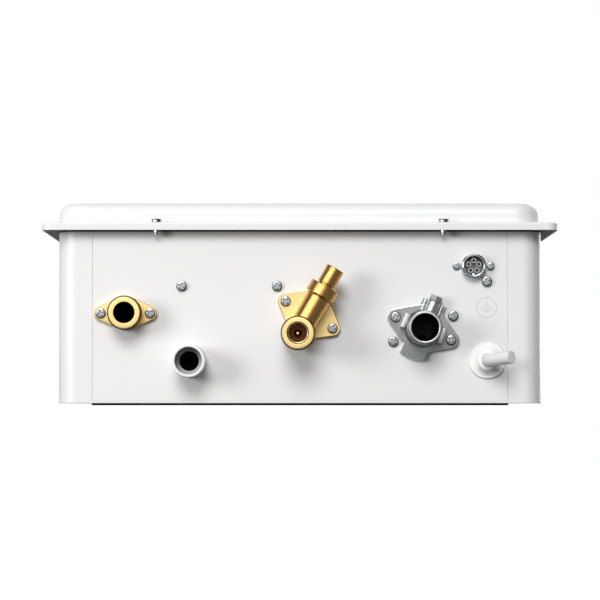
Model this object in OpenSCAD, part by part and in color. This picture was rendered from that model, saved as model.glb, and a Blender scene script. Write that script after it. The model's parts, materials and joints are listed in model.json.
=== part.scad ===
// Wall-hung tankless gas water heater with a sealed case and a coaxial flue, drawn lying on its back.
// X runs across the case, Y from the connection end to the flue end, Z from the wall to the front cover.
// Sizes are in millimetres and the wall lies in the plane Z = 0.

/* [Case] */
// Width across the sides of the case
case_w = 379; // [374:1:402]
// Height of the case over its two end plates
case_h = 600; // [590:1:680]
// Depth of the case from its back to the underside of its rim
case_d = 135; // [132:0.5:150]
// Thickness of the casing sheet
sheet_t = 1; // [0.8:0.1:1.2]
// Corner radius of the case seen from the front
case_r = 15; // [12:0.5:18]
// Outside bend radius along the back edge
back_r = 1.8; // [1.6:0.1:2]
// Height of the folded strip under each end plate
fold_h = 2; // [2:0.1:3]
// Width of the case end beside each end plate
return_w = 27; // [24.5:0.5:29]
// Gap along the seam round each end plate
seam = 0.4; // [0.2:0.1:0.8]
// Width of end plate that carries the lip behind the seam
lip_join = 4; // [3:0.5:6]

/* [Front cover] */
// How far the rim stands out past the case
rim_w = 12; // [11.5:0.5:15]
// Depth of the rim
rim_t = 6; // [5:0.5:9]
// Corner radius of the rim seen from the front
rim_r = 8; // [6:0.5:10]
// Radius along the front edge of the rim
rim_edge_r = 1.5; // [1.4:0.1:2]
// Height of the raised front above the rim
dome_h = 16; // [13:0.5:24]
// Edge radius of the raised front
dome_r = 9; // [5:0.5:10]
// Corner radius of the raised front seen from the front
dome_corner_r = 21; // [20.5:0.5:30]
// Width of the rim left inside the raised front
cover_lip = 1; // [0.5:0.1:3]
// Gap between the cover's rim and the rim of the case
rim_gap = 0.4; // [0.2:0.1:1]
// Width of the rubber gasket in the rim
gasket_w = 4.6; // [3:0.2:5]
// Distance of the cover screws from the middle
cover_screw_x = 112; // [60:1:150]
// Distance of the cover screws from the end of the case
cover_screw_y = 7.5; // [7:0.1:8]
// Length of cover screw standing out under the rim
cover_screw_tip = 4; // [3:0.5:8]
// Outside diameter of the press nut on a cover screw
press_nut_d = 6; // [5.5:0.1:6.6]
// Height of the press nut
press_nut_h = 2.2; // [1.5:0.1:3]

/* [Wall bracket] */
// Thickness of the wall bracket and of the lower rail
rail_t = 1.5; // [1:0.1:3]
// Width of the wall bracket
bracket_w = 240; // [226:1:300]
// How far the wall bracket stands out past the flue end
bracket_reach = 38; // [34:1:44]
// How far the wall bracket runs under the case
bracket_lap = 60; // [30:1:120]
// Corner radius of the wall bracket
bracket_r = 6; // [3:0.5:12]
// Distance of the wall screw holes from the middle
bracket_hole_x = 100; // [60:1:104]
// Distance of the wall screw holes from the free edge
bracket_hole_edge = 13; // [9:0.5:14]
// Diameter of the wall screw holes
bracket_hole_d = 6.5; // [4:0.1:8]
// Width of the lower rail
rail_w = 328; // [200:1:330]
// Height of the lower rail
rail_h = 34; // [20:1:60]
// Distance of the lower rail from the connection end
rail_inset = 12; // [8:0.5:30]

/* [Screws] */
// Thread diameter of the pan head screws
screw_d = 4; // [3.6:0.1:4]
// Head diameter of the pan head screws
screw_head_d = 8; // [7:0.1:8.4]
// Head height of the pan head screws
screw_head_h = 2.7; // [2.2:0.1:3.2]
// Edge radius of the screw heads
screw_round = 1.5; // [0.8:0.1:1.8]
// Thread length of the pan head screws
screw_len = 10; // [8:0.5:12]
// Thread diameter of the small screws
small_screw_d = 3; // [2.5:0.1:3]
// Head diameter of the small screws
small_head_d = 6; // [5.4:0.1:6.4]
// Head height of the small screws
small_head_h = 2.1; // [2:0.1:2.4]
// Width of the cross recess in a screw head
recess_w = 0.9; // [0.6:0.1:1.2]
// Length of the cross recess in a screw head
recess_len = 4.2; // [3:0.1:4.6]
// Depth of the cross recess in a screw head
recess_h = 1.3; // [0.8:0.1:1.6]
// Clearance of a screw in its hole, on the diameter
hole_gap = 0.5; // [0.3:0.1:1]

/* [Pipe ends] */
// Outside diameter of the connection threads
thread_d = 26.44; // [24:0.02:27]
// Depth of the relief behind a connection thread
thread_relief = 0.6; // [0.4:0.1:1]
// Chamfer on the mouth of a connection
mouth_chamfer = 0.8; // [0.4:0.1:1.4]
// Diameter of the tail that passes through the plate
tail_d = 20; // [19:0.1:21]
// Length of the tail behind the plate's outer face
tail_len = 22; // [20:0.5:26]
// Bore of the tail
tail_bore = 13; // [11:0.5:13.5]
// Depth of a pipe in its socket
pipe_socket = 10; // [7:0.5:12]
// Clearance of a pipe in its socket, on the diameter
socket_gap = 0.4; // [0.3:0.1:0.6]
// Outside diameter of the copper pipes
pipe_d = 16; // [15:0.1:16.5]
// Wall of the copper pipes
pipe_t = 0.8; // [0.6:0.1:1]
// Bend radius of the copper pipes
pipe_bend = 13; // [11:0.5:14]
// Height of the cold pipe's cross run above the connection end
cold_run = 106; // [105:0.5:108]
// Distance of the cold pipe's upright run from the stack
cold_run_out = 37; // [36:0.5:40]

/* [Hot outlet] */
// Place of the hot outlet across the case
hot_x = -136.3; // [-138:0.1:-134]
// Height of the hot outlet above the wall
hot_z = 71.7; // [66:0.1:72]
// Length of the hot outlet from the plate
hot_reach = 24; // [18:0.5:40]
// Bore of the hot outlet
hot_bore = 15.7; // [14:0.1:18]
// Radius of its flange round the spigot
hot_hub_r = 14.6; // [14:0.1:16]
// Radius of its flange round a screw
hot_lug_r = 5.4; // [4.6:0.1:7]
// Distance between its flange screws
hot_lug_gap = 38.6; // [37:0.1:42]
// Thickness of the fitting flanges
lug_t = 4; // [3:0.1:5]

/* [Cold inlet] */
// Place of the cold inlet across the case
cold_x = 7.1; // [5:0.1:8]
// Height of the cold inlet above the wall
cold_z = 70.5; // [67:0.1:71]
// Slant of the cold inlet's screw line
cold_tilt = -30; // [-40:1:-25]
// Radius of its flange round the hub
cold_hub_r = 18.9; // [16:0.1:19]
// Radius of its flange round a screw
cold_lug_r = 6; // [5:0.1:7]
// Distance between its flange screws
cold_lug_gap = 42.3; // [42:0.1:45]
// Diameter of the hub on the flange
cold_hub_d = 24; // [22:0.1:26]
// Distance of the branch from the plate
branch_h = 23; // [22:0.5:28]
// Diameter of the branch
branch_d = 19.6; // [19:0.1:21]
// Offset of the threaded spigot along the branch
spigot_shift = 17.5; // [16:0.1:19]
// Length of the cold inlet from the plate
cold_reach = 48; // [44:0.5:48]
// Back of the threaded spigot behind the branch
spigot_back = 11; // [10.5:0.1:13]
// Bore of the cold inlet
cold_bore = 16; // [14:0.1:17]
// Mouth diameter of the cold inlet's bore
cold_mouth_d = 17.7; // [17.2:0.1:19]
// Depth of the cold inlet's bore below the branch's waterway
cold_sump = 1.2; // [0.5:0.1:2]
// Waterway bore inside the branch
branch_bore = 10; // [8:0.1:11]
// Distance of the filter below the mouth
filter_drop = 9; // [7:0.5:12]
// Height of the filter cup
filter_h = 10; // [6:0.5:12]
// Wall of the filter cup
filter_t = 1; // [0.6:0.1:1.6]

/* [Drain valve] */
// Distance of the branch's end from the flange centre
branch_end = 15.4; // [15:0.1:17]
// Distance of the valve seat from the flange centre
seat_y = 8.6; // [8.2:0.1:9]
// Diameter of the valve chamber
chamber_d = 13; // [12.4:0.1:14]
// Thickness of the valve disc
disc_h = 2; // [1.5:0.1:2.2]
// Diameter of the valve stem
stem_d = 6; // [4:0.1:7]
// Running clearance in the drain valve, on the diameter
stem_gap = 0.14; // [0.1:0.02:0.18]
// Gap between the branch's end and the knob
knob_gap = 0.5; // [0.4:0.1:1]
// Diameter of the knob's collar
knob_d = 23.4; // [20:0.1:26]
// Length of the knob's collar
knob_h = 9.2; // [7:0.1:12]
// Diameter of the knob's nozzle
nozzle_d = 14.6; // [12:0.1:17]
// Length of the knob's nozzle
nozzle_len = 15.7; // [10:0.1:22]
// Bore of the knob's nozzle
nozzle_bore = 8.5; // [7.5:0.1:10]
// Length of the nozzle's bore
nozzle_bore_len = 12; // [8:0.5:14]
// Length of the knob's nose in the branch
nose_len = 3.4; // [2.4:0.1:3.6]

/* [Gas inlet] */
// Distance of the gas inlet from the right side
gas_side = 93.2; // [90.5:0.1:94.5]
// Height of the gas inlet above the wall
gas_z = 59.8; // [58:0.1:62]
// Slant of the gas inlet's screw line
gas_tilt = -22.7; // [-26:0.1:-20]
// Length of the gas inlet from the plate
gas_reach = 38; // [34:0.5:46]
// Bore of the gas inlet
gas_bore = 21; // [19:0.1:22]
// Bore of the gas inlet's tail
gas_tail_bore = 18; // [15:0.1:18.4]
// Diameter of the gas inlet's tail
gas_tail_d = 23; // [21:0.1:24]
// Length of the gas inlet's tail
gas_tail_len = 12; // [8:0.5:14]
// Thickness of the casting's plate
gas_plate_t = 3.5; // [3:0.1:5]
// Radius of the plate round the spigot
gas_hub_r = 19.1; // [18:0.1:20]
// Radius of the plate round a screw
gas_lug_r = 6.5; // [5.5:0.1:7]
// Distance between the plate's screws
gas_lug_gap = 46.8; // [46:0.1:48]
// Diameter of the collar at the spigot's root
root_d = 31; // [29:0.1:32]
// Height of the collar at the spigot's root
root_h = 8; // [7:0.1:10]
// Width of the plate under the test port
port_pad_w = 18.8; // [16:0.1:22]
// Reach of the plate under the test port
port_pad_len = 22.6; // [21:0.1:24]
// Diameter of the test port boss
port_d = 10.2; // [9:0.1:11]
// Height of the test port above the plate
port_h = 2.6; // [2.2:0.1:3.6]
// Width across the test plug's flats
plug_af = 9; // [7.5:0.1:9.6]
// Height of the plug's hexagon
plug_h = 4.6; // [3.6:0.1:6]
// Diameter of the plug's shank
plug_d = 5; // [4:0.1:6]
// Length of the plug's shank
plug_len = 5; // [3:0.1:6]
// Width of the fan-shaped tab
tab_w = 20.2; // [16:0.1:24]
// Radius of the tab's outer edge
tab_r = 25.5; // [23:0.1:27]
// Distance of the ribs from the spigot's middle
rib_u = 15.4; // [15:0.1:16.4]
// Width of a rib
rib_w = 3; // [2:0.1:4]
// Length of a rib
rib_len = 11.5; // [8:0.1:14]
// Height of a rib above the plate
rib_h = 9; // [6:0.1:12]
// Distance of the valve screws from the spigot
valve_screw_r = 25.5; // [25.3:0.1:27]
// Direction of the first valve screw
valve_screw_a = 23.2; // [20:0.1:28]

/* [Condensate drain] */
// Place of the drain across the case
drain_x = -86.1; // [-90:0.1:-80]
// Height of the drain above the wall
drain_z = 34.3; // [30:0.1:36]
// Outside diameter of the drain
drain_d = 25.7; // [24:0.1:27]
// Bore of the drain's socket
drain_bore = 21.2; // [19:0.1:22]
// Length of the drain from the plate
drain_reach = 30; // [24:0.5:40]
// Depth of the drain's socket
drain_depth = 14; // [10:0.5:16]
// Bore of the step behind the socket
drain_step_d = 15.4; // [13:0.1:17]
// Depth of the step behind the socket
drain_step = 10; // [6:0.5:10]
// Bore of the drain behind its socket
drain_throat = 9; // [6:0.1:9]
// Thickness of its flange behind the plate
drain_flange_t = 3; // [2:0.1:4]
// Diameter of its flange behind the plate
drain_flange_d = 34; // [31:0.5:38]
// Length of the hose barb
barb_len = 16; // [12:0.5:18]
// Outside diameter of the condensate hose
hose_d = 16; // [15:0.1:17]
// Wall of the condensate hose
hose_t = 2; // [1.6:0.1:2.2]
// Bend radius of the condensate hose
hose_bend = 14; // [12:0.5:16]
// Distance of the hose's upright run from the stack
hose_out = 49; // [45:0.5:53]

/* [Control socket] */
// Distance of the control socket from the right side
plug_side = 53.8; // [52.5:0.1:55.5]
// Height of the control socket above the wall
plug_z = 108.7; // [108:0.1:112]
// Outside diameter of the socket's shell
shell_d = 19; // [17:0.1:20]
// Wall of the socket's shell
shell_t = 2.2; // [1.6:0.1:2.6]
// Length of the shell from the plate
shell_reach = 8; // [6:0.5:12]
// Depth of the socket
shell_depth = 6; // [5:0.1:6]
// Width of the key notch in the shell
key_w = 3; // [2:0.1:4]
// Depth of the key notch along the shell
key_h = 2; // [1:0.1:3]
// Number of contact pins
pin_n = 5; // [3:1:5]
// Radius of the circle the pins stand on
pin_ring_r = 4.2; // [3.8:0.1:4.6]
// Diameter of a contact pin
pin_d = 1.6; // [1:0.1:2]
// Length of a contact pin above the insert
pin_len = 4.5; // [3:0.1:5]
// Distance of the small screws from the socket's middle
plug_screw_x = 13.25; // [13:0.05:14]
// Thickness of the socket's flange behind the plate
plug_flange_t = 2; // [1.5:0.1:3]
// Radius of the socket's flange round the shell
plug_hub_r = 10.8; // [10.4:0.1:12]
// Radius of the socket's flange round a screw
plug_lug_r = 4.2; // [3:0.1:5]
// Distance of the earth screw from the right side
earth_side = 43.4; // [39.5:0.1:45.5]
// Height of the earth screw above the wall
earth_z = 96.7; // [92:0.1:97]

/* [Cord bush] */
// Distance of the cord bush from the right side
bush_side = 43.2; // [42.5:0.1:45.5]
// Height of the cord bush above the wall
bush_z = 35.1; // [32:0.1:40]
// Diameter of the bush on the plate
bush_d = 29; // [24:0.1:31]
// Height of the bush
bush_h = 11; // [9:0.1:14]
// Diameter of the bush's neck
neck_d = 13.6; // [13:0.1:16]
// Thickness of the bush's edge
bush_edge = 2; // [1:0.1:3]
// Outside diameter of the cord sleeve
sleeve_d = 9.8; // [9:0.1:11]
// Wall of the cord sleeve
sleeve_t = 1.6; // [1.2:0.1:2]
// Bend radius of the cord sleeve
sleeve_bend = 12; // [10:0.5:16]
// Bend angle of the cord sleeve
sleeve_a = 47; // [30:1:60]
// Straight length of the sleeve past its bend
sleeve_len = 18; // [12:0.5:20]
// Straight length of the sleeve in the bush
sleeve_root = 16; // [13:0.5:18]
// Swelling of the sleeve past its bend, on the diameter
sleeve_swell = 0.2; // [0.1:0.05:0.4]
// Length of the plug in the sleeve's end
sleeve_plug_len = 6; // [3:0.5:10]
// Depth of the plug below the sleeve's rim
sleeve_plug_drop = 0.6; // [0.3:0.1:1.5]
// Diameter of the bush's inner nut
bush_nut_d = 22; // [19:0.5:26]
// Height of the bush's inner nut
bush_nut_h = 6; // [4:0.5:8]

/* [Flue] */
// Outside diameter of the air collar
collar_d = 100; // [96:1:100]
// Wall of the air collar
collar_t = 2.5; // [2:0.1:4]
// Length of the air collar from the plate
collar_reach = 40; // [30:1:46]
// Bore of the exhaust socket
exhaust_bore = 60.4; // [58:0.2:62]
// Wall of the exhaust socket
exhaust_t = 2; // [1.6:0.1:3]
// Length of the exhaust socket from the plate
exhaust_reach = 48; // [42:1:48]
// Depth of the exhaust socket's shoulder above the plate
shoulder_h = 8; // [6:0.5:12]
// Width of the shoulder
shoulder_w = 3; // [2.5:0.1:4]
// Side of the collar's base
base_w = 122; // [120:1:124]
// Thickness of the collar's base
base_t = 4; // [3:0.1:5]
// Distance of the base's screws from its middle
base_screw = 52; // [50:0.5:53]
// Number of webs between the collars
web_n = 3; // [3:1:4]
// Thickness of a web
web_t = 3; // [2:0.1:5]
// Outside diameter of the flue pipe
flue_d = 60; // [56:0.2:60]
// Wall of the flue pipe
flue_t = 1; // [0.6:0.1:1.5]

/* [Heat stack] */
// Width of the burner, exchanger and hood
stack_w = 210; // [200:1:212]
// Depth of the burner, exchanger and hood
stack_d = 92; // [90:1:94]
// Gap between the stack and the back of the case
stack_gap = 18; // [17:0.5:19]
// Wall of the stack
stack_t = 1; // [0.8:0.1:1.5]
// Distance of the burner box from the connection end
burner_lift = 191; // [189:0.5:200]
// Height of the burner box
burner_h = 70; // [64:1:76]
// Number of burner bars
bar_n = 12; // [8:1:12]
// Distance between burner bars
bar_pitch = 15.5; // [14:0.1:17]
// Thickness of a burner bar
bar_t = 8; // [6:0.5:10]
// Height of a burner bar
bar_h = 44; // [36:1:46]
// Distance of the bars from the box's floor
bar_lift = 7; // [6.5:0.5:8]
// Height of the exchanger's shell
shell_h = 140; // [120:1:160]
// Height of the fins
fin_h = 52; // [40:1:60]
// Thickness of a fin
fin_t = 0.8; // [0.5:0.1:1.2]
// Distance between fins
fin_pitch = 8; // [6:0.5:12]
// Distance of the fins from the shell's top
fin_drop = 6; // [4:0.5:12]
// Number of exchanger tubes
tube_n = 5; // [5:2:5]
// Distance between exchanger tubes
tube_pitch = 17; // [16.6:0.1:17.4]
// Height of the hood
hood_h = 74; // [66:1:90]
// Height of the hood's straight foot
hood_foot = 22; // [20:0.5:26]
// Length of the hood's neck
neck_len = 14; // [10:0.5:20]
// Height of the channels that carry the stack
channel_h = 22; // [16:1:30]
// Length of the channels that carry the stack
channel_w = 150; // [120:1:180]

/* [Fan] */
// Place of the fan across the case
fan_x = -62; // [-63:0.5:-60]
// Distance of the fan's middle from the burner box
fan_drop = 62; // [60:0.5:64]
// Radius of the fan housing
fan_r = 52; // [50:0.5:54]
// Extra radius of the fan housing's second lobe
lobe_r = 3; // [2:0.5:4]
// Shift of the second lobe towards the outlet
lobe_x = 5; // [4:0.5:6]
// Shift of the second lobe away from the burner
lobe_y = 3; // [2:0.5:4]
// Depth of the fan housing
fan_h = 42; // [38:0.5:43]
// Height of the fan housing above the back of the case
fan_z = 38; // [37.5:0.5:39]
// Wall of the fan housing
fan_t = 1.5; // [1:0.1:2]
// Width of the fan's outlet
outlet_w = 46; // [40:1:50]
// Diameter of the fan's inlet
fan_inlet_d = 70; // [60:1:76]
// Radius of the impeller
wheel_r = 44; // [40:0.5:46]
// Height of the impeller
wheel_h = 32; // [26:0.5:33]
// Thickness of the impeller's plates
wheel_t = 2; // [1.2:0.1:3]
// Number of impeller blades
blade_n = 18; // [10:1:24]
// Length of an impeller blade
blade_len = 14; // [10:0.5:16]
// Thickness of an impeller blade
blade_t = 1.2; // [0.8:0.1:2]
// Slant of an impeller blade
blade_a = 35; // [20:1:45]
// Diameter of the fan shaft
shaft_d = 6; // [5:0.1:8]
// Running clearance of the fan shaft, on the diameter
shaft_gap = 0.12; // [0.08:0.02:0.18]
// Diameter of the fan motor
motor_d = 54; // [48:1:56]
// Length of the fan motor
motor_h = 34; // [30:1:36]
// Edge radius of the fan motor
motor_r = 4; // [2:0.5:6]

/* [Gas valve] */
// Width of the gas valve
valve_w = 62; // [62:1:66]
// Length of the gas valve
valve_len = 80; // [78:1:84]
// Depth of the gas valve
valve_d = 56; // [54:1:60]
// Depth of the gas valve's back below the gas inlet
valve_drop = 29; // [28:0.5:32]
// Diameter of the gas ways inside the valve
valve_way_d = 8; // [6:0.1:10]
// Diameter of a valve coil
coil_d = 33; // [28:0.5:35]
// Height of a valve coil
coil_h = 34; // [32:0.5:38]
// Distance between the valve coils
coil_gap = 40; // [38:0.5:42]
// Thickness of a coil's cap
coil_cap = 3; // [2:0.1:4]
// Diameter of a plunger
plunger_d = 14; // [12:0.1:16]
// Running clearance of a plunger, on the diameter
plunger_gap = 0.16; // [0.1:0.02:0.18]
// Length of a plunger
plunger_len = 36; // [34:0.5:37]
// Depth of the plunger bores in the valve
plunger_bore = 16; // [14:0.5:18]
// Travel of a plunger
plunger_lift = 3; // [2:0.1:4]
// Wire of a plunger spring
wire_d = 1.2; // [0.8:0.1:1.4]
// Turns of a plunger spring
spring_turns = 5; // [4:1:6]
// Outside diameter of the gas pipe
gas_pipe_d = 18; // [16:0.1:18]
// Height of the gas pipe above the wall
gas_pipe_z = 43; // [42.5:0.1:44]
// Side of the gas manifold
manifold_w = 20; // [19.5:0.5:22]
// Wall of the gas manifold
manifold_t = 2.5; // [2:0.1:3]
// Distance of the manifold from the burner box
manifold_gap = 4; // [3:0.5:4]
// Distance of the manifold from the stack's front
manifold_in = 18; // [17:0.5:19]
// Diameter of a gas jet
jet_d = 6; // [5:0.1:6.4]
// Bore of a gas jet
jet_bore = 1.6; // [1:0.1:2.4]
// Length of a gas jet
jet_len = 8; // [7:0.5:8]

/* [Flow sensor] */
// Outside diameter of the flow sensor
flow_d = 27; // [26.5:0.1:27.6]
// Length of the flow sensor
flow_len = 46; // [44:0.5:50]
// Bore of the flow sensor
flow_bore = 19; // [17:0.1:19]
// Depth of the tail in the flow sensor
flow_socket = 8; // [6:0.5:10]
// Diameter of the flow sensor's axle
axle_d = 3; // [2:0.1:3.6]
// Running clearance of the flow rotor, on the diameter
axle_gap = 0.14; // [0.1:0.02:0.18]
// Diameter of the flow rotor's hub
rotor_hub_d = 8; // [6:0.1:9]
// Length of the flow rotor
rotor_len = 13; // [10:0.5:14]
// Number of rotor vanes
vane_n = 6; // [4:1:8]
// Slant of the rotor vanes
vane_a = 30; // [15:1:40]
// Thickness of a rotor vane
vane_t = 1.2; // [0.8:0.1:1.6]
// Gap round the rotor in the bore
vane_gap = 0.6; // [0.4:0.1:1]
// Thickness of the axle's bridges
bridge_t = 2; // [1.5:0.1:2.5]

/* [Control box] */
// Middle of the control box across the case
box_x = -55.35; // [-57:0.05:-54]
// Distance between the control box screws
box_screw_gap = 74.7; // [70:0.1:78]
// Height of the control box screws above the wall
box_screw_z = 93.1; // [93:0.1:95]
// Width of the control box
box_w = 100; // [96:1:102]
// Length of the control box
box_len = 58; // [50:1:60]
// Height of the control box's floor above the wall
box_z = 86; // [85.5:0.1:86]
// Depth of the control box
box_d = 40; // [36:0.5:44]
// Wall of the control box
box_t = 2; // [1.5:0.1:2.5]
// Side of the screw blocks in the control box
box_block = 10; // [9:0.1:11]
// Height of the board above the control box floor
board_lift = 18; // [16:0.5:20]
// Thickness of the board
board_t = 1.6; // [1:0.1:2]
// Gap round the board
board_gap = 2; // [1:0.1:3]
// Diameter of the board's posts
post_d = 6; // [5:0.1:8]

/* [Ignition] */
// Distance between the spark electrodes
spark_gap = 18; // [14:0.5:24]
// Diameter of the electrode insulators
insulator_d = 8; // [6:0.1:9]
// Length of the insulators outside the box
insulator_out = 12; // [8:0.5:14]
// Length of the insulators inside the box
insulator_in = 14; // [8:0.5:20]
// Diameter of the electrode rods
spark_d = 2; // [1.5:0.1:3]
// Length of the electrode rods past the insulators
spark_len = 20; // [10:0.5:26]
// Thickness of the electrode plate
spark_plate_t = 2; // [1.5:0.1:3]
// Distance of the electrodes from the box's top
spark_drop = 9; // [8:0.5:11]
// Distance of the ignition box from the right side
igniter_side = 43.5; // [39.5:0.5:49.5]
// Width of the ignition box
igniter_w = 44; // [36:1:50]
// Length of the ignition box
igniter_len = 60; // [50:1:70]
// Depth of the ignition box
igniter_d = 26; // [20:0.5:30]
// Diameter of the overheat switch
cutout_d = 18; // [14:0.5:22]
// Height of the overheat switch
cutout_h = 8; // [6:0.5:12]

/* [Hidden] */
$fn = 48;
hull_fn = 32;
arc_n = 8;
eps = 0.01;
bottom_y = -case_h / 2;
top_y = case_h / 2;
inside_y = bottom_y + sheet_t;
back_in = rail_t + sheet_t;
rim_z = rail_t + case_d;
rim_top = rim_z + rim_t;
front_z = rim_top + dome_h;
plate_w = case_w - 2 * return_w;
plate_z = rail_t + fold_h;
lip_w = return_w - case_r - seam;
lip_z = rail_t + back_r + seam;
case_lip = rim_w - sheet_t - rim_gap;
case_lip_r = rim_r - sheet_t - rim_gap;
gasket_h = rim_t - 2 * sheet_t;
cover_screw_at = case_h / 2 + cover_screw_y;
stack_z0 = back_in + stack_gap;
stack_z1 = stack_z0 + stack_d;
stack_mid = stack_z0 + stack_d / 2;
burner_y0 = bottom_y + burner_lift;
burner_y1 = burner_y0 + burner_h;
shell_y1 = burner_y1 + shell_h;
hood_y1 = shell_y1 + hood_h;
tube_d = pipe_d - 2 * pipe_t - socket_gap;
tube_y = shell_y1 - fin_drop - fin_h / 2;
tube_out = stack_w / 2 + 3;
tube_lap = 12;
tube_z0 = stack_mid - (tube_n - 1) * tube_pitch / 2;
tube_z1 = tube_z0 + (tube_n - 1) * tube_pitch;
fan_y = burner_y0 - fan_drop;
fan_floor = back_in + fan_z;
outlet_x1 = lobe_x + fan_r + lobe_r - 2;
valve_y1 = inside_y + valve_len;
gas_x = case_w / 2 - gas_side;
plug_x = case_w / 2 - plug_side;
earth_x = case_w / 2 - earth_side;
bush_x = case_w / 2 - bush_side;
igniter_x = case_w / 2 - igniter_side;
valve_z0 = gas_z - valve_drop;
valve_z1 = valve_z0 + valve_d;
plunger_z0 = valve_z1 - plunger_bore;
plunger_z1 = plunger_z0 + plunger_len;
spring_room = valve_z1 + coil_h - coil_cap - plunger_z1;
coil_mid_y = inside_y + valve_len / 2;
valve_outlet_len = 10;
manifold_y = burner_y0 - manifold_gap - manifold_w / 2;
manifold_z = stack_z1 - manifold_in;
manifold_x0 = -stack_w / 2;
manifold_x1 = gas_x + gas_pipe_d / 2 + manifold_t + 1;
exhaust_d = exhaust_bore + 2 * exhaust_t;
flow_y0 = bottom_y + tail_len - flow_socket;
flow_y1 = flow_y0 + flow_len;
flow_mid = (bottom_y + tail_len + flow_y1 - pipe_socket) / 2;
axle_room = rotor_len + 2;
cold_run_y = bottom_y + cold_run;
cold_run_x = stack_w / 2 + cold_run_out;
hose_x = stack_w / 2 + hose_out;
hose_y0 = bottom_y + sheet_t + drain_flange_t + barb_len;
hose_turn_y = hose_y0 + hose_bend + hose_t;
nipple_y = shell_y1 + hood_foot / 2;
brass = "goldenrod";
copper = "peru";
steel = "silver";
casing = "white";
plastic = "whitesmoke";
alloy = "darkgray";
dark = "dimgray";

function unit(v) = v / norm(v);
function arc(x, y, r) = [for (i = [0:arc_n]) [x + r * sin(90 * i / arc_n), y + r * cos(90 * i / arc_n)]];
function back_arc(x, y, r) = [for (p = [arc_n:-1:0]) arc(x, y, r)[p]];

// Section of a sheet that runs out from x0 to x1 at height h and then bends down to the base
function bent_sheet(x0, x1, h, r) = concat([[x0, h]], arc(x1 - r, h - r, r), [[x1, 0], [x1 - sheet_t, 0]],
  back_arc(x1 - r, h - r, r - sheet_t), [[x0, h - sheet_t]]);

// Frame with its X and Y axes along two given directions
module place(o, x, y) {
  z = cross(x, y);
  multmatrix([[x[0], y[0], z[0], o[0]], [x[1], y[1], z[1], o[1]], [x[2], y[2], z[2], o[2]], [0, 0, 0, 1]])
    children();
}

// Puts a fitting on the connection plate, its Z axis pointing out of the case
module on_bottom(x, z) {
  translate([x, bottom_y, z]) rotate([90, 0, 0]) children();
}

// Puts a piece on the flue end, its Z axis pointing out of the case
module on_top(y) {
  translate([0, y, stack_mid]) rotate([-90, 0, 0]) children();
}

// Block from the origin with its far corner rounded
module round_block(x, y, r) {
  square([x - r, y]);
  square([x, y - r]);
  intersection() {
    translate([x - r, y - r]) circle(r);
    square([x, y]);
  }
}

// Rectangle with round corners
module round_rect(w, h, r) {
  square([w - 2 * r, h], center = true);
  square([w, h - 2 * r], center = true);
  for (x = [-1, 1], y = [-1, 1]) {
    translate([x * (w / 2 - r), y * (h / 2 - r)]) circle(r);
  }
}

// Sweeps a profile round a rectangle with round corners, its X running out from the corner centres
module round_frame(w, h, r) {
  for (k = [0:3]) {
    a = k % 2 == 0 ? w : h;
    b = k % 2 == 0 ? h : w;
    rotate(90 * k) translate([a / 2 - r, b / 2 - r, 0]) {
      rotate_extrude(angle = 90) children();
      rotate([90, 0, 0]) linear_extrude(b - 2 * r) children();
    }
  }
}

module ring(d, wall) {
  difference() {
    circle(d = d);
    circle(d = d - 2 * wall);
  }
}

// Tube along a line of points with right-angled turns
module tube_run(pts, d, wall, bend) {
  last = len(pts) - 1;
  for (i = [0:last - 1]) {
    u = unit(pts[i + 1] - pts[i]);
    a = i == 0 ? 0 : bend;
    b = i == last - 1 ? 0 : bend;
    place(pts[i] + a * u, [u[1], u[2], u[0]], cross(u, [u[1], u[2], u[0]]))
      linear_extrude(norm(pts[i + 1] - pts[i]) - a - b) ring(d, wall);
  }
  for (i = [1:last - 1]) {
    u = unit(pts[i] - pts[i - 1]);
    v = unit(pts[i + 1] - pts[i]);
    place(pts[i] + bend * (v - u), -v, u) rotate_extrude(angle = 90) translate([bend, 0]) ring(d, wall);
  }
}

// Cross-recess screw with the underside of its head at Z = 0
module screw(d, len, head_d, head_h) {
  difference() {
    union() {
      rotate_extrude() round_block(head_d / 2, head_h, screw_round);
      translate([0, 0, -len]) cylinder(d = d, h = len);
    }
    for (a = [0, 90]) {
      rotate(a) translate([-recess_len / 2, -recess_w / 2, head_h - recess_h])
        cube([recess_len, recess_w, 2 * recess_h]);
    }
  }
}

module pan_screw() {
  screw(screw_d, screw_len, screw_head_d, screw_head_h);
}

// Flange outline with a hub and two screw lugs
module lug_outline(hub_r, lug_r, gap) {
  hull() {
    circle(hub_r, $fn = 96);
    for (s = [-1, 1]) {
      translate([s * gap / 2, 0]) circle(lug_r, $fn = hull_fn);
    }
  }
}

module lug_places(gap) {
  for (s = [-1, 1]) {
    translate([s * gap / 2, 0, 0]) children();
  }
}

// Round spigot from Z = z0 to its chamfered mouth, cut back a little below Z = zt
module spigot(d, z0, zt, z1) {
  root_r = d / 2 - thread_relief;
  rotate_extrude() polygon([[0, z0], [root_r, z0], [root_r, zt], [d / 2, zt],
    [d / 2, z1 - mouth_chamfer], [d / 2 - mouth_chamfer, z1], [0, z1]]);
}

// Places of the valve screws and of the control box screws
module valve_screw_places() {
  for (s = [0, 180]) {
    rotate(valve_screw_a + s) translate([valve_screw_r, 0, 0]) children();
  }
}

module box_screw_places() {
  for (s = [-1, 1]) {
    on_bottom(box_x + s * box_screw_gap / 2, box_screw_z) children();
  }
}

module base_screw_places() {
  for (x = [-1, 1], y = [-1, 1]) {
    translate([x * base_screw, y * base_screw, 0]) children();
  }
}

module cover_screw_places() {
  for (x = [-1, 1], y = [-1, 1]) {
    translate([x * cover_screw_x, y * cover_screw_at, 0]) children();
  }
}

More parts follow.
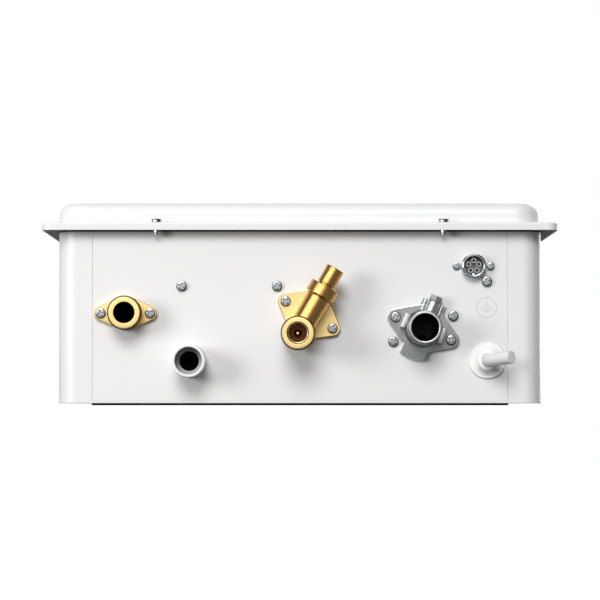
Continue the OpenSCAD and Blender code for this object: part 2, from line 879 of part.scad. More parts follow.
module rear_case() {
  color(casing) difference() {
    union() {
      translate([0, 0, rail_t]) {
        round_frame(case_w, case_h, case_r) difference() {
          translate([0, case_d]) mirror([0, 1]) round_block(case_r, case_d, back_r);
          translate([0, case_d + 1]) mirror([0, 1])
            round_block(case_r - sheet_t, case_d + 1 - sheet_t, back_r - sheet_t);
        }
        translate([case_r - case_w / 2, case_r - case_h / 2, 0])
          cube([case_w - 2 * case_r, case_h - 2 * case_r, sheet_t]);
      }
      translate([0, 0, rim_z]) linear_extrude(sheet_t) difference() {
        round_rect(case_w + 2 * case_lip, case_h + 2 * case_lip, case_lip_r);
        round_rect(case_w - 2 * sheet_t, case_h - 2 * sheet_t, case_r - sheet_t);
      }
    }
    for (y = [bottom_y - 1, top_y - sheet_t - eps]) {
      translate([-plate_w / 2, y, plate_z]) cube([plate_w, sheet_t + 1 + eps, rim_z - plate_z]);
    }
    cover_screw_places() translate([0, 0, rim_z - 1]) cylinder(d = screw_d + hole_gap, h = sheet_t + 2);
  }
}

// End plate with lips that lie behind the folded ends of the case
module end_plate() {
  translate([seam - plate_w / 2, bottom_y, plate_z + seam])
    cube([plate_w - 2 * seam, sheet_t, rim_z - plate_z - 2 * seam]);
  for (x = [-plate_w / 2 - lip_w, plate_w / 2 - lip_join]) {
    translate([x, inside_y, plate_z + seam])
      cube([lip_w + lip_join, sheet_t, rim_z - plate_z - 2 * seam]);
  }
  translate([-plate_w / 2 - lip_w, inside_y, lip_z])
    cube([plate_w + 2 * lip_w, sheet_t, plate_z + lip_join - lip_z]);
}

module bottom_plate() {
  plug_hole = small_screw_d + hole_gap;
  color(casing) difference() {
    end_plate();
    on_bottom(hot_x, hot_z) {
      plate_hole(tail_d + hole_gap);
      lug_places(hot_lug_gap) plate_hole(screw_d + hole_gap);
    }
    on_bottom(cold_x, cold_z) rotate(cold_tilt) {
      plate_hole(tail_d + hole_gap);
      lug_places(cold_lug_gap) plate_hole(screw_d + hole_gap);
    }
    on_bottom(gas_x, gas_z) {
      plate_hole(gas_tail_d + hole_gap);
      rotate(gas_tilt) lug_places(gas_lug_gap) plate_hole(screw_d + hole_gap);
      valve_screw_places() plate_hole(screw_d + hole_gap);
    }
    on_bottom(drain_x, drain_z) plate_hole(drain_d + hole_gap);
    on_bottom(plug_x, plug_z) {
      plate_hole(shell_d + hole_gap);
      lug_places(2 * plug_screw_x) plate_hole(plug_hole);
    }
    on_bottom(earth_x, earth_z) plate_hole(screw_d + hole_gap);
    on_bottom(bush_x, bush_z) plate_hole(neck_d + hole_gap);
    box_screw_places() plate_hole(screw_d + hole_gap);
  }
}

module plate_hole(d) {
  translate([0, 0, -2 * sheet_t - 1]) cylinder(d = d, h = 2 * sheet_t + 2);
}

module top_plate() {
  color(casing) difference() {
    mirror([0, 1, 0]) end_plate();
    on_top(top_y) {
      plate_hole(collar_d - 2 * collar_t);
      base_screw_places() plate_hole(screw_d + hole_gap);
    }
  }
}

module front_cover() {
  inset = dome_r + 1;
  hole_in = sheet_t + cover_lip;
  web_r = rim_r / 2;
  color(casing) difference() {
    union() {
      translate([0, 0, rim_top]) round_frame(case_w, case_h, dome_corner_r)
        polygon(bent_sheet(dome_corner_r - inset, dome_corner_r, dome_h, dome_r));
      translate([0, 0, front_z - sheet_t]) linear_extrude(sheet_t)
        round_rect(case_w - 2 * inset, case_h - 2 * inset, dome_corner_r - inset);
      translate([0, 0, rim_top - sheet_t]) linear_extrude(sheet_t) difference() {
        round_rect(case_w + 2 * (rim_w - web_r), case_h + 2 * (rim_w - web_r), web_r);
        round_rect(case_w - 2 * hole_in, case_h - 2 * hole_in, dome_corner_r - hole_in);
      }
      translate([0, 0, rim_z]) round_frame(case_w + 2 * rim_w, case_h + 2 * rim_w, rim_r)
        polygon(bent_sheet(web_r, rim_r, rim_t, rim_edge_r));
    }
    cover_screw_places() translate([0, 0, rim_top - 2 * sheet_t])
      cylinder(d = screw_d + hole_gap, h = 3 * sheet_t);
  }
}

module cover_gasket() {
  color(dark) translate([0, 0, rim_z + sheet_t]) linear_extrude(gasket_h) difference() {
    round_rect(case_w + 2 * gasket_w, case_h + 2 * gasket_w, rim_r);
    round_rect(case_w, case_h, case_r);
  }
}

module cover_screws() {
  color(steel) cover_screw_places() translate([0, 0, rim_top])
    screw(screw_d, rim_t + cover_screw_tip, screw_head_d, screw_head_h);
}

module cover_nuts() {
  color(steel) cover_screw_places() translate([0, 0, rim_z - press_nut_h])
    linear_extrude(press_nut_h) ring(press_nut_d, (press_nut_d - screw_d) / 2 - hole_gap / 4);
}

module wall_bracket() {
  h = bracket_reach + bracket_lap;
  color(steel) linear_extrude(rail_t) difference() {
    translate([0, top_y + bracket_reach - h / 2]) round_rect(bracket_w, h, bracket_r);
    for (x = [-1, 1]) {
      translate([x * bracket_hole_x, top_y + bracket_reach - bracket_hole_edge]) circle(d = bracket_hole_d);
    }
  }
}

module lower_rail() {
  color(steel) linear_extrude(rail_t) translate([0, bottom_y + rail_inset + rail_h / 2])
    round_rect(rail_w, rail_h, bracket_r);
}

module pan_screws() {
  color(steel) {
    on_bottom(hot_x, hot_z) lug_places(hot_lug_gap) translate([0, 0, lug_t]) pan_screw();
    on_bottom(cold_x, cold_z) rotate(cold_tilt) lug_places(cold_lug_gap) translate([0, 0, lug_t])
      pan_screw();
    on_bottom(gas_x, gas_z) {
      rotate(gas_tilt) lug_places(gas_lug_gap) translate([0, 0, gas_plate_t]) pan_screw();
      valve_screw_places() pan_screw();
    }
    box_screw_places() pan_screw();
    on_top(top_y) base_screw_places() translate([0, 0, base_t]) pan_screw();
  }
}

// Tail behind the plate with a socket for a pipe
module tail_cut() {
  translate([0, 0, -tail_len - 1]) {
    cylinder(d = tail_bore, h = tail_len + 1 + eps);
    cylinder(d = pipe_d + socket_gap, h = pipe_socket + 1);
  }
}

module hot_outlet() {
  color(brass) on_bottom(hot_x, hot_z) difference() {
    union() {
      linear_extrude(lug_t) lug_outline(hot_hub_r, hot_lug_r, hot_lug_gap);
      spigot(thread_d, 0, lug_t + screw_head_h + 1, hot_reach);
      translate([0, 0, -tail_len]) cylinder(d = tail_d, h = tail_len + eps);
    }
    tail_cut();
    cylinder(d = hot_bore, h = hot_reach + 1);
    lug_places(hot_lug_gap) plate_hole_up(lug_t);
  }
}

module plate_hole_up(t) {
  translate([0, 0, -1]) cylinder(d = screw_d + hole_gap, h = t + 2);
}

module cold_inlet() {
  color(brass) on_bottom(cold_x, cold_z) rotate(cold_tilt) difference() {
    union() {
      linear_extrude(lug_t) lug_outline(cold_hub_r, cold_lug_r, cold_lug_gap);
      cylinder(d = cold_hub_d, h = branch_h);
      translate([0, 0, -tail_len]) cylinder(d = tail_d, h = tail_len + eps);
      translate([0, branch_end, branch_h]) rotate([90, 0, 0])
        cylinder(d = branch_d, h = branch_end + spigot_shift);
      translate([0, -spigot_shift, 0]) spigot(thread_d, branch_h - spigot_back,
        branch_h + branch_d / 2 + 1, cold_reach);
    }
    translate([0, 0, -tail_len - 1]) {
      cylinder(d = tail_bore, h = tail_len + 1 + branch_h);
      cylinder(d = tail_d - 2 * pipe_t - socket_gap, h = pipe_socket / 2);
    }
    translate([0, branch_end + 1, branch_h]) rotate([90, 0, 0]) {
      cylinder(d = branch_bore, h = branch_end + 1 + spigot_shift);
      cylinder(d = chamber_d, h = branch_end + 1 - seat_y);
    }
    translate([0, -spigot_shift, branch_h - branch_bore / 2 - cold_sump])
      cylinder(d = cold_bore, h = cold_reach);
    translate([0, -spigot_shift, cold_reach - (cold_mouth_d - cold_bore) / 2])
      cylinder(d1 = cold_bore, d2 = cold_mouth_d + 2, h = (cold_mouth_d - cold_bore) / 2 + 1);
    lug_places(cold_lug_gap) plate_hole_up(lug_t);
  }
}

module inlet_filter() {
  color(dark) on_bottom(cold_x, cold_z) rotate(cold_tilt)
    translate([0, -spigot_shift, cold_reach - filter_drop - filter_h]) difference() {
      cylinder(d = cold_bore - socket_gap, h = filter_h);
      translate([0, 0, filter_t]) cylinder(d = cold_bore - socket_gap - 2 * filter_t, h = filter_h);
      for (k = [0:5]) {
        rotate(60 * k) translate([cold_bore / 4, 0, -1]) cylinder(d = 2 * filter_t, h = filter_t + 2);
      }
    }
}

// Puts a drain valve piece along the branch, its Z axis pointing outwards
module on_branch(y) {
  on_bottom(cold_x, cold_z) rotate(cold_tilt) translate([0, y, branch_h]) rotate([-90, 0, 0]) children();
}

module drain_stem() {
  color(steel) on_branch(seat_y) {
    cylinder(d = chamber_d - stem_gap, h = disc_h);
    cylinder(d = stem_d, h = branch_end + knob_gap + knob_h + nozzle_len - nozzle_bore_len - seat_y);
  }
}

module drain_knob() {
  z0 = branch_end + knob_gap;
  color(brass) on_branch(0) difference() {
    union() {
      translate([0, 0, branch_end - nose_len])
        cylinder(d = chamber_d - socket_gap, h = nose_len + knob_gap + 1);
      translate([0, 0, z0]) {
        rotate_extrude() round_block(knob_d / 2, knob_h, mouth_chamfer);
        spigot(nozzle_d, knob_h - 1, knob_h + 2, knob_h + nozzle_len);
      }
    }
    cylinder(d = stem_d + stem_gap, h = z0 + knob_h + nozzle_len - nozzle_bore_len + 1);
    translate([0, 0, z0 + knob_h + nozzle_len - nozzle_bore_len])
      cylinder(d = nozzle_bore, h = nozzle_len);
  }
}

// Cast gas connection: lug plate, fan-shaped tab, two ribs and a test port on the plate
module gas_inlet() {
  port_z = gas_plate_t + port_h;
  color(alloy) on_bottom(gas_x, gas_z) rotate(gas_tilt) difference() {
    union() {
      linear_extrude(gas_plate_t) {
        lug_outline(gas_hub_r, gas_lug_r, gas_lug_gap);
        intersection() {
          circle(tab_r);
          translate([-tab_w / 2, -tab_r]) square([tab_w, tab_r]);
        }
        translate([-port_pad_w / 2, 0]) square([port_pad_w, port_pad_len]);
      }
      cylinder(d = root_d, h = root_h);
      spigot(thread_d, 0, gas_plate_t + rib_h + 1, gas_reach);
      translate([0, 0, -gas_tail_len]) cylinder(d = gas_tail_d, h = gas_tail_len + eps);
      for (u = [-1, 1]) {
        translate([u * rib_u - rib_w / 2, -rib_len / 2, gas_plate_t - eps]) cube([rib_w, rib_len, rib_h]);
      }
      translate([0, port_pad_len, port_z]) rotate([90, 0, 0])
        cylinder(d = port_d, h = port_pad_len - thread_d / 2 + 2);
      for (u = [-1, 1]) {
        translate([u * (port_pad_w - rib_w) / 2 - rib_w / 4, thread_d / 2 - 1, gas_plate_t - eps])
          cube([rib_w / 2, port_pad_len - thread_d / 2 + 1, port_h]);
      }
    }
    translate([0, 0, -gas_tail_len - 1]) cylinder(d = gas_tail_bore, h = gas_tail_len + 1 + eps);
    cylinder(d = gas_bore, h = gas_reach + 1);
    translate([0, port_pad_len + 1, port_z]) rotate([90, 0, 0])
      cylinder(d = plug_d + hole_gap, h = plug_len + 1.5);
    lug_places(gas_lug_gap) plate_hole_up(gas_plate_t);
  }
}

module gas_test_plug() {
  color(steel) on_bottom(gas_x, gas_z) rotate(gas_tilt)
    translate([0, port_pad_len, gas_plate_t + port_h]) rotate([-90, 0, 0]) {
      cylinder(d = plug_af / cos(30), h = plug_h, $fn = 6);
      translate([0, 0, -plug_len]) cylinder(d = plug_d, h = plug_len);
    }
}

module condensate_spigot() {
  root = -sheet_t - drain_flange_t;
  color(plastic) on_bottom(drain_x, drain_z) difference() {
    union() {
      spigot(drain_d, root, sheet_t, drain_reach);
      translate([0, 0, root]) cylinder(d = drain_flange_d, h = drain_flange_t);
      translate([0, 0, root - barb_len]) cylinder(d = hose_d - 2 * hose_t - socket_gap, h = barb_len + 1);
    }
    translate([0, 0, root - barb_len - 1]) cylinder(d = drain_throat, h = barb_len + drain_reach);
    translate([0, 0, drain_reach - drain_depth - drain_step]) cylinder(d = drain_step_d, h = drain_reach);
    translate([0, 0, drain_reach - drain_depth]) cylinder(d = drain_bore, h = drain_depth + 1);
  }
}

module condensate_hose() {
  color(dark) tube_run([[drain_x, inside_y + drain_flange_t + seam, drain_z],
    [drain_x, hose_turn_y, drain_z],
    [-hose_x, hose_turn_y, drain_z], [-hose_x, nipple_y, drain_z],
      [-stack_w / 2 - seam, nipple_y, drain_z]],
    hose_d, hose_t, hose_bend);
}

module socket_shell() {
  color(steel) on_bottom(plug_x, plug_z) difference() {
    translate([0, 0, -sheet_t - plug_flange_t]) {
      cylinder(d = shell_d, h = shell_reach + sheet_t + plug_flange_t);
      linear_extrude(plug_flange_t) lug_outline(plug_hub_r, plug_lug_r, 2 * plug_screw_x);
    }
    translate([0, 0, -sheet_t - plug_flange_t - 1])
      cylinder(d = shell_d - 2 * shell_t, h = 2 * shell_reach + sheet_t + plug_flange_t);
    translate([-key_w / 2, -shell_d, shell_reach - key_h]) cube([key_w, shell_d, key_h + 1]);
    lug_places(2 * plug_screw_x) translate([0, 0, -screw_len])
      cylinder(d = small_screw_d + hole_gap, h = screw_len);
  }
}

module pin_places() {
  for (k = [0:pin_n - 1]) {
    rotate(90 + k * 360 / pin_n) translate([pin_ring_r, 0, 0]) children();
  }
}

module socket_insert() {
  z0 = -sheet_t - plug_flange_t;
  color(dark) on_bottom(plug_x, plug_z) difference() {
    translate([0, 0, z0])
      cylinder(d = shell_d - 2 * shell_t - socket_gap, h = shell_reach - shell_depth - z0);
    pin_places() translate([0, 0, z0 - 1]) cylinder(d = pin_d + socket_gap, h = shell_reach - z0);
  }
}

module socket_pins() {
  z0 = -sheet_t - plug_flange_t;
  color(steel) on_bottom(plug_x, plug_z) pin_places() translate([0, 0, z0])
    rotate_extrude() round_block(pin_d / 2, shell_reach - shell_depth + pin_len - z0, pin_d / 4);
}

module socket_screws() {
  color(steel) on_bottom(plug_x, plug_z) lug_places(2 * plug_screw_x)
    screw(small_screw_d, screw_len, small_head_d, small_head_h);
}

module earth_screw() {
  color(steel) on_bottom(earth_x, earth_z) pan_screw();
}

// Bell-shaped bush that clamps the cord sleeve in the plate
module cord_bush() {
  flare = (bush_d - neck_d) / 2;
  rise = bush_h - bush_edge;
  color(plastic) on_bottom(bush_x, bush_z) difference() {
    union() {
      rotate_extrude() difference() {
        square([bush_d / 2, bush_h]);
        translate([bush_d / 2, bush_h]) scale([1, rise / flare]) circle(flare);
      }
      translate([0, 0, -2 * sheet_t]) cylinder(d = neck_d, h = 2 * sheet_t + eps);
      translate([0, 0, -sheet_t - bush_nut_h]) cylinder(d = bush_nut_d, h = bush_nut_h);
    }
    translate([0, 0, -sheet_t - bush_nut_h - 1])
      cylinder(d = sleeve_d + socket_gap, h = bush_h + bush_nut_h + sheet_t + 2);
  }
}

// Puts a piece on the bent end of the cord sleeve, its Z axis pointing outwards
module on_sleeve_end() {
  on_bottom(bush_x, bush_z) translate([0, 0, bush_h]) translate([sleeve_bend, 0, 0])
    rotate([0, sleeve_a, 0]) translate([-sleeve_bend, 0, 0]) children();
}

module cord_sleeve() {
  color(plastic) {
    on_bottom(bush_x, bush_z) {
      translate([0, 0, bush_h - sleeve_root]) linear_extrude(sleeve_root) ring(sleeve_d, sleeve_t);
      translate([sleeve_bend, 0, bush_h]) rotate([90, 0, 180])
        rotate_extrude(angle = sleeve_a) translate([sleeve_bend, 0]) ring(sleeve_d, sleeve_t);
    }
    on_sleeve_end() translate([0, 0, -2 * sleeve_swell]) linear_extrude(sleeve_len + 2 * sleeve_swell)
      ring(sleeve_d + sleeve_swell, sleeve_t);
  }
}

module sleeve_plug() {
  color(dark) on_sleeve_end() translate([0, 0, sleeve_len - sleeve_plug_drop - sleeve_plug_len])
    cylinder(d = sleeve_d - 2 * sleeve_t - socket_gap, h = sleeve_plug_len);
}

module control_box() {
  color(plastic) {
    difference() {
      translate([box_x - box_w / 2, inside_y, box_z]) difference() {
        cube([box_w, box_len, box_d]);
        translate([box_t, box_t, box_t]) cube([box_w - 2 * box_t, box_len - 2 * box_t, box_d]);
      }
      box_screw_places() translate([0, 0, -box_block]) cylinder(d = screw_d + hole_gap, h = box_block);
    }
    difference() {
      for (s = [-1, 1]) {
        translate([box_x + s * box_screw_gap / 2 - box_block / 2, inside_y + box_t, box_z + box_t])
          cube([box_block, box_block, box_screw_z - box_z - box_t + box_block / 2]);
      }
      box_screw_places() translate([0, 0, -screw_len - 1])
        cylinder(d = screw_d + hole_gap, h = screw_len + 1);
    }
    board_posts() cylinder(d = post_d, h = board_lift + eps);
  }
}

module board_posts() {
  for (x = [-1, 1], y = [0, 1]) {
    translate([box_x + x * (box_w / 2 - box_t - board_gap - post_d / 2),
      inside_y + box_t + board_gap + post_d / 2 + y * (box_len - 2 * box_t - 2 * board_gap - post_d),
      box_z + box_t - eps]) children();
  }
}

module control_board() {
  w = box_w - 2 * box_t - 2 * board_gap;
  h = box_len - 2 * box_t - 2 * board_gap;
  color("darkgreen") translate([box_x, inside_y + box_len / 2, box_z + box_t + board_lift]) {
    translate([-w / 2, -h / 2, 0]) cube([w, h, board_t]);
    for (k = [-1:1]) {
      translate([k * w / 4, h / 5, board_t - eps]) cylinder(d = w / 8, h = w / 8);
    }
    translate([-w / 3, -h / 3, board_t - eps]) cube([w / 3, h / 3, w / 10]);
    translate([w / 8, -h / 3, board_t - eps]) cube([w / 5, h / 3, w / 8]);
  }
}

module control_lid() {
  color(plastic) translate([box_x - box_w / 2, inside_y, box_z + box_d]) {
    cube([box_w, box_len, box_t]);
    translate([box_t + seam, box_t + seam, -box_t])
      cube([box_w - 2 * box_t - 2 * seam, box_len - 2 * box_t - 2 * seam, box_t + eps]);
  }
}

// Puts a piece on the cold inlet's middle line, its Z axis pointing into the case
module on_inlet(y) {
  translate([cold_x, y, cold_z]) rotate([-90, 0, 0]) children();
}

module flow_sensor() {
  axle_y = flow_mid - flow_y0;
  color(dark) on_inlet(flow_y0) {
    difference() {
      cylinder(d = flow_d, h = flow_len);
      translate([0, 0, -1]) cylinder(d = flow_bore, h = flow_len - pipe_socket - 1);
      translate([0, 0, -1]) cylinder(d = tail_d + socket_gap, h = flow_socket + 1);
      translate([0, 0, flow_len - pipe_socket - 3]) cylinder(d = pipe_d - 2 * pipe_t, h = pipe_socket);
      translate([0, 0, flow_len - pipe_socket]) cylinder(d = pipe_d + socket_gap, h = pipe_socket + 1);
    }
    translate([0, 0, axle_y - axle_room / 2 - bridge_t])
      cylinder(d = axle_d, h = axle_room + 2 * bridge_t);
    for (z = [-axle_room / 2 - bridge_t, axle_room / 2]) {
      translate([0, 0, axle_y + z + bridge_t / 2])
        cube([flow_bore + 1, bridge_t, bridge_t], center = true);
    }
  }
}

module flow_rotor() {
  color(plastic) on_inlet(flow_mid) difference() {
    union() {
      translate([0, 0, -rotor_len / 2]) cylinder(d = rotor_hub_d, h = rotor_len);
      intersection() {
        for (k = [0:vane_n - 1]) {
          rotate(k * 360 / vane_n) rotate([vane_a, 0, 0]) translate([axle_d, -vane_t / 2, -rotor_len])
            cube([flow_bore, vane_t, 2 * rotor_len]);
        }
        translate([0, 0, -rotor_len / 2 + 1]) cylinder(d = flow_bore - 2 * vane_gap, h = rotor_len - 2);
      }
    }
    cylinder(d = axle_d + axle_gap, h = 2 * rotor_len, center = true);
  }
}

module cold_pipe() {
  color(copper) tube_run([[cold_x, flow_y1 - pipe_socket + seam, cold_z], [cold_x, cold_run_y, cold_z],
    [cold_run_x, cold_run_y, cold_z], [cold_run_x, tube_y, cold_z], [cold_run_x, tube_y, tube_z0],
    [tube_out + 1, tube_y, tube_z0]], pipe_d, pipe_t, pipe_bend);
}

module hot_pipe() {
  color(copper) tube_run([[-tube_out - 1, tube_y, tube_z1], [hot_x, tube_y, tube_z1],
    [hot_x, tube_y, hot_z],
    [hot_x, bottom_y + tail_len - pipe_socket + seam, hot_z]], pipe_d, pipe_t, pipe_bend);
}

// Places of the two plungers in the gas valve
module on_valve(s, z) {
  translate([gas_x, coil_mid_y + s * coil_gap / 2, z]) children();
}

module gas_valve() {
  color(alloy) difference() {
    translate([gas_x - valve_w / 2, inside_y, valve_z0]) cube([valve_w, valve_len, valve_d]);
    on_bottom(gas_x, gas_z) {
      translate([0, 0, -gas_tail_len - 1]) cylinder(d = gas_tail_d + socket_gap, h = gas_tail_len + 1);
      rotate(gas_tilt) lug_places(gas_lug_gap) translate([0, 0, -screw_len - 1])
        cylinder(d = screw_d + hole_gap, h = screw_len);
      valve_screw_places() translate([0, 0, -screw_len - 1])
        cylinder(d = screw_d + hole_gap, h = screw_len);
    }
    for (s = [-1, 1]) {
      on_valve(s, plunger_z0) cylinder(d = plunger_d + plunger_gap, h = valve_d);
    }
    translate([gas_x, valve_y1 - valve_outlet_len, gas_pipe_z]) rotate([-90, 0, 0])
      cylinder(d = gas_pipe_d + socket_gap, h = valve_len);
    translate([gas_x, inside_y + 1, (gas_z + gas_pipe_z) / 2]) rotate([-90, 0, 0])
      cylinder(d = valve_way_d, h = valve_len - 2);
    for (s = [-1, 1]) {
      on_valve(s, (gas_z + gas_pipe_z) / 2) cylinder(d = valve_way_d, h = valve_d / 2);
    }
  }
}

module valve_coils() {
  color(dark) for (s = [-1, 1]) {
    on_valve(s, valve_z1) difference() {
      cylinder(d = coil_d, h = coil_h);
      translate([0, 0, -1]) cylinder(d = plunger_d + plunger_gap, h = coil_h - coil_cap + 1);
    }
  }
}

module plunger(s) {
  color(steel) on_valve(s, plunger_z0) cylinder(d = plunger_d, h = plunger_len);
}

module shutoff_plunger() {
  plunger(-1);
}

module modulating_plunger() {
  plunger(1);
}

// Coil spring standing between a plunger and its coil's cap
module plunger_spring(s) {
  steps = 10 * spring_turns;
  r = plunger_d / 2 - wire_d;
  climb = spring_room - wire_d - 2 * seam;
  pts = [for (i = [0:steps], j = [0:5]) let (a = 36 * i, q = r + wire_d / 2 * cos(60 * j))
    [q * cos(a), q * sin(a), seam + wire_d / 2 + climb * i / steps + wire_d / 2 * sin(60 * j)]];
  sides = [for (i = [0:steps - 1], j = [0:5])
    [6 * i + j, 6 * i + (j + 1) % 6, 6 * i + 6 + (j + 1) % 6, 6 * i + 6 + j]];
  ends = [[5, 4, 3, 2, 1, 0], [for (j = [0:5]) 6 * steps + j]];
  color(steel) on_valve(s, plunger_z1) polyhedron(points = pts, faces = concat(sides, ends));
}

module shutoff_spring() {
  plunger_spring(-1);
}

module modulating_spring() {
  plunger_spring(1);
}

module gas_pipe() {
  color(copper) tube_run([[gas_x, valve_y1 - valve_outlet_len + seam, gas_pipe_z],
    [gas_x, manifold_y, gas_pipe_z],
    [gas_x, manifold_y, manifold_z - manifold_w / 2 + manifold_t]], gas_pipe_d, pipe_t, pipe_bend);
}

module bar_places() {
  for (k = [0:bar_n - 1]) {
    translate([(k - (bar_n - 1) / 2) * bar_pitch, 0, 0]) children();
  }
}

module gas_manifold() {
  color(alloy) difference() {
    union() {
      difference() {
        translate([manifold_x0, manifold_y - manifold_w / 2, manifold_z - manifold_w / 2])
          cube([manifold_x1 - manifold_x0, manifold_w, manifold_w]);
        translate([manifold_x0 + manifold_t, manifold_y - manifold_w / 2 + manifold_t,
          manifold_z - manifold_w / 2 + manifold_t])
          cube([manifold_x1 - manifold_x0 - 2 * manifold_t, manifold_w - 2 * manifold_t,
            manifold_w - 2 * manifold_t]);
      }
      bar_places() translate([0, manifold_y + manifold_w / 2 - eps, manifold_z]) rotate([-90, 0, 0])
        cylinder(d = jet_d, h = jet_len);
    }
    bar_places() translate([0, manifold_y, manifold_z]) rotate([-90, 0, 0])
      cylinder(d = jet_bore, h = manifold_w / 2 + jet_len + 1);
    translate([gas_x, manifold_y, manifold_z - manifold_w / 2 - 1])
      cylinder(d = gas_pipe_d + socket_gap, h = manifold_t + 1);
  }
}

// Open box of the stack between two heights
module stack_wall(y0, y1) {
  translate([-stack_w / 2, y0, stack_z0]) difference() {
    cube([stack_w, y1 - y0, stack_d]);
    translate([stack_t, -1, stack_t]) cube([stack_w - 2 * stack_t, y1 - y0 + 2, stack_d - 2 * stack_t]);
  }
}

module burner_box() {
  color(steel) difference() {
    union() {
      stack_wall(burner_y0, burner_y1);
      translate([-stack_w / 2, burner_y0, stack_z0]) cube([stack_w, stack_t, stack_d]);
    }
    bar_places() translate([0, burner_y0 - 1, manifold_z]) rotate([-90, 0, 0])
      cylinder(d = jet_d + hole_gap, h = stack_t + 2);
    translate([fan_x + outlet_x1 - outlet_w + fan_t, burner_y0 - 1, fan_floor + fan_t])
      cube([outlet_w - 2 * fan_t, stack_t + 2, fan_h - 2 * fan_t]);
    spark_places(stack_z1 - 2 * stack_t) cylinder(d = insulator_d + socket_gap, h = 3 * stack_t);
  }
}

module burner_bars() {
  depth = stack_d - 2 * stack_t - seam;
  color(steel) bar_places() translate([-bar_t / 2, burner_y0 + bar_lift, stack_mid - depth / 2])
    difference() {
    cube([bar_t, bar_h, depth]);
    translate([bar_t / 3, bar_h - bar_t / 2, bar_t / 2]) cube([bar_t / 3, bar_t, depth - bar_t]);
    translate([bar_t / 2, -1, manifold_z - stack_mid + depth / 2]) rotate([-90, 0, 0])
      cylinder(d = jet_d, h = bar_h / 3);
  }
}

module spark_places(z) {
  for (s = [-1, 1]) {
    translate([s * spark_gap / 2, burner_y1 - spark_drop, z]) children();
  }
}

module spark_electrodes() {
  color(plastic) {
    translate([-spark_gap, burner_y1 - spark_drop - insulator_d, stack_z1])
      cube([2 * spark_gap, 2 * insulator_d, spark_plate_t]);
    spark_places(stack_z1 - insulator_in) cylinder(d = insulator_d, h = insulator_in + insulator_out);
    spark_places(stack_z1 - insulator_in - spark_len) cylinder(d = spark_d, h = spark_len + 1);
  }
}

module ignition_box() {
  color(dark) translate([igniter_x, burner_y0 + igniter_len / 2, back_in]) linear_extrude(igniter_d)
    round_rect(igniter_w, igniter_len, post_d / 2);
}

module tube_places() {
  for (k = [0:tube_n - 1]) {
    translate([0, tube_y, tube_z0 + k * tube_pitch]) children();
  }
}

module exchanger_shell() {
  color(copper) difference() {
    stack_wall(burner_y1, shell_y1);
    tube_places() rotate([0, 90, 0]) cylinder(d = tube_d + socket_gap, h = stack_w + 2, center = true);
  }
}

module exchanger_fins() {
  side = floor((stack_w / 2 - fin_pitch) / fin_pitch);
  depth = stack_d - 2 * stack_t - seam;
  color(copper) difference() {
    for (k = [-side:side]) {
      translate([k * fin_pitch - fin_t / 2, shell_y1 - fin_drop - fin_h, stack_mid - depth / 2])
        cube([fin_t, fin_h, depth]);
    }
    tube_places() rotate([0, 90, 0]) cylinder(d = tube_d + socket_gap, h = stack_w, center = true);
  }
}

// Tubes that run to and fro through the fins
module exchanger_tubes() {
  color(copper) {
    for (k = [0:tube_n - 1]) {
      x0 = k == tube_n - 1 ? -tube_out - tube_lap : -tube_out;
      x1 = k == 0 ? tube_out + tube_lap : tube_out;
      translate([x0, tube_y, tube_z0 + k * tube_pitch]) rotate([0, 90, 0])
        linear_extrude(x1 - x0) ring(tube_d, pipe_t);
    }
    for (k = [0:tube_n - 2]) {
      s = k % 2 == 0 ? -1 : 1;
      place([s * tube_out, tube_y, tube_z0 + (k + 0.5) * tube_pitch], [0, 0, 1], [s, 0, 0])
        rotate_extrude(angle = 180) translate([tube_pitch / 2, 0]) ring(tube_d, pipe_t);
    }
  }
}

module overheat_switch() {
  color(dark) translate([0, burner_y1 + shell_h / 3, stack_z1]) {
    translate([-cutout_d, -cutout_d / 2, 0]) cube([2 * cutout_d, cutout_d, stack_t]);
    cylinder(d = cutout_d, h = cutout_h);
  }
}

module hood_body(grow, z0) {
  hull() {
    translate([-stack_w / 2 - grow, -stack_d / 2 - grow, z0])
      cube([stack_w + 2 * grow, stack_d + 2 * grow, hood_foot - z0]);
    translate([0, 0, hood_h - 1])
      cylinder(d = flue_d + socket_gap + 2 * stack_t + 2 * grow, h = 1, $fn = hull_fn);
  }
}

module flue_hood() {
  color(copper) difference() {
    union() {
      on_top(shell_y1) {
        difference() {
          hood_body(0, 0);
          hood_body(-stack_t, -1);
          cylinder(d = flue_d + socket_gap, h = hood_h + neck_len);
        }
        translate([0, 0, hood_h]) linear_extrude(neck_len)
          ring(flue_d + socket_gap + 4 * stack_t, 2 * stack_t);
      }
      translate([-stack_w / 2 - barb_len, nipple_y, drain_z]) rotate([0, 90, 0])
        cylinder(d = hose_d - 2 * hose_t - socket_gap, h = barb_len + stack_t / 2);
    }
    translate([-stack_w / 2 - barb_len - 1, nipple_y, drain_z]) rotate([0, 90, 0])
      cylinder(d = drain_throat, h = barb_len + 2 * stack_t + 2);
  }
}

module flue_pipe() {
  y0 = hood_y1 + 2;
  color(steel) on_top(y0) linear_extrude(top_y + shoulder_h - seam - y0) ring(flue_d, flue_t);
}

// Base plate with the air collar and a hub on webs that holds the exhaust socket
module flue_collar() {
  inner_d = collar_d - 2 * collar_t;
  color(alloy) on_top(top_y) difference() {
    union() {
      linear_extrude(base_t) difference() {
        round_rect(base_w, base_w, screw_head_d);
        circle(d = inner_d);
        base_screw_places() circle(d = screw_d + hole_gap);
      }
      linear_extrude(collar_reach) ring(collar_d, collar_t);
      cylinder(d = exhaust_d + socket_gap + 2 * web_t, h = 2 * base_t);
      for (k = [0:web_n - 1]) {
        rotate(90 + k * 360 / web_n) translate([exhaust_d / 2 + web_t / 2, -web_t / 2, 0])
          cube([(inner_d - exhaust_d - web_t + collar_t) / 2, web_t, 2 * base_t]);
      }
    }
    translate([0, 0, -1]) cylinder(d = exhaust_d + socket_gap, h = exhaust_reach);
  }
}

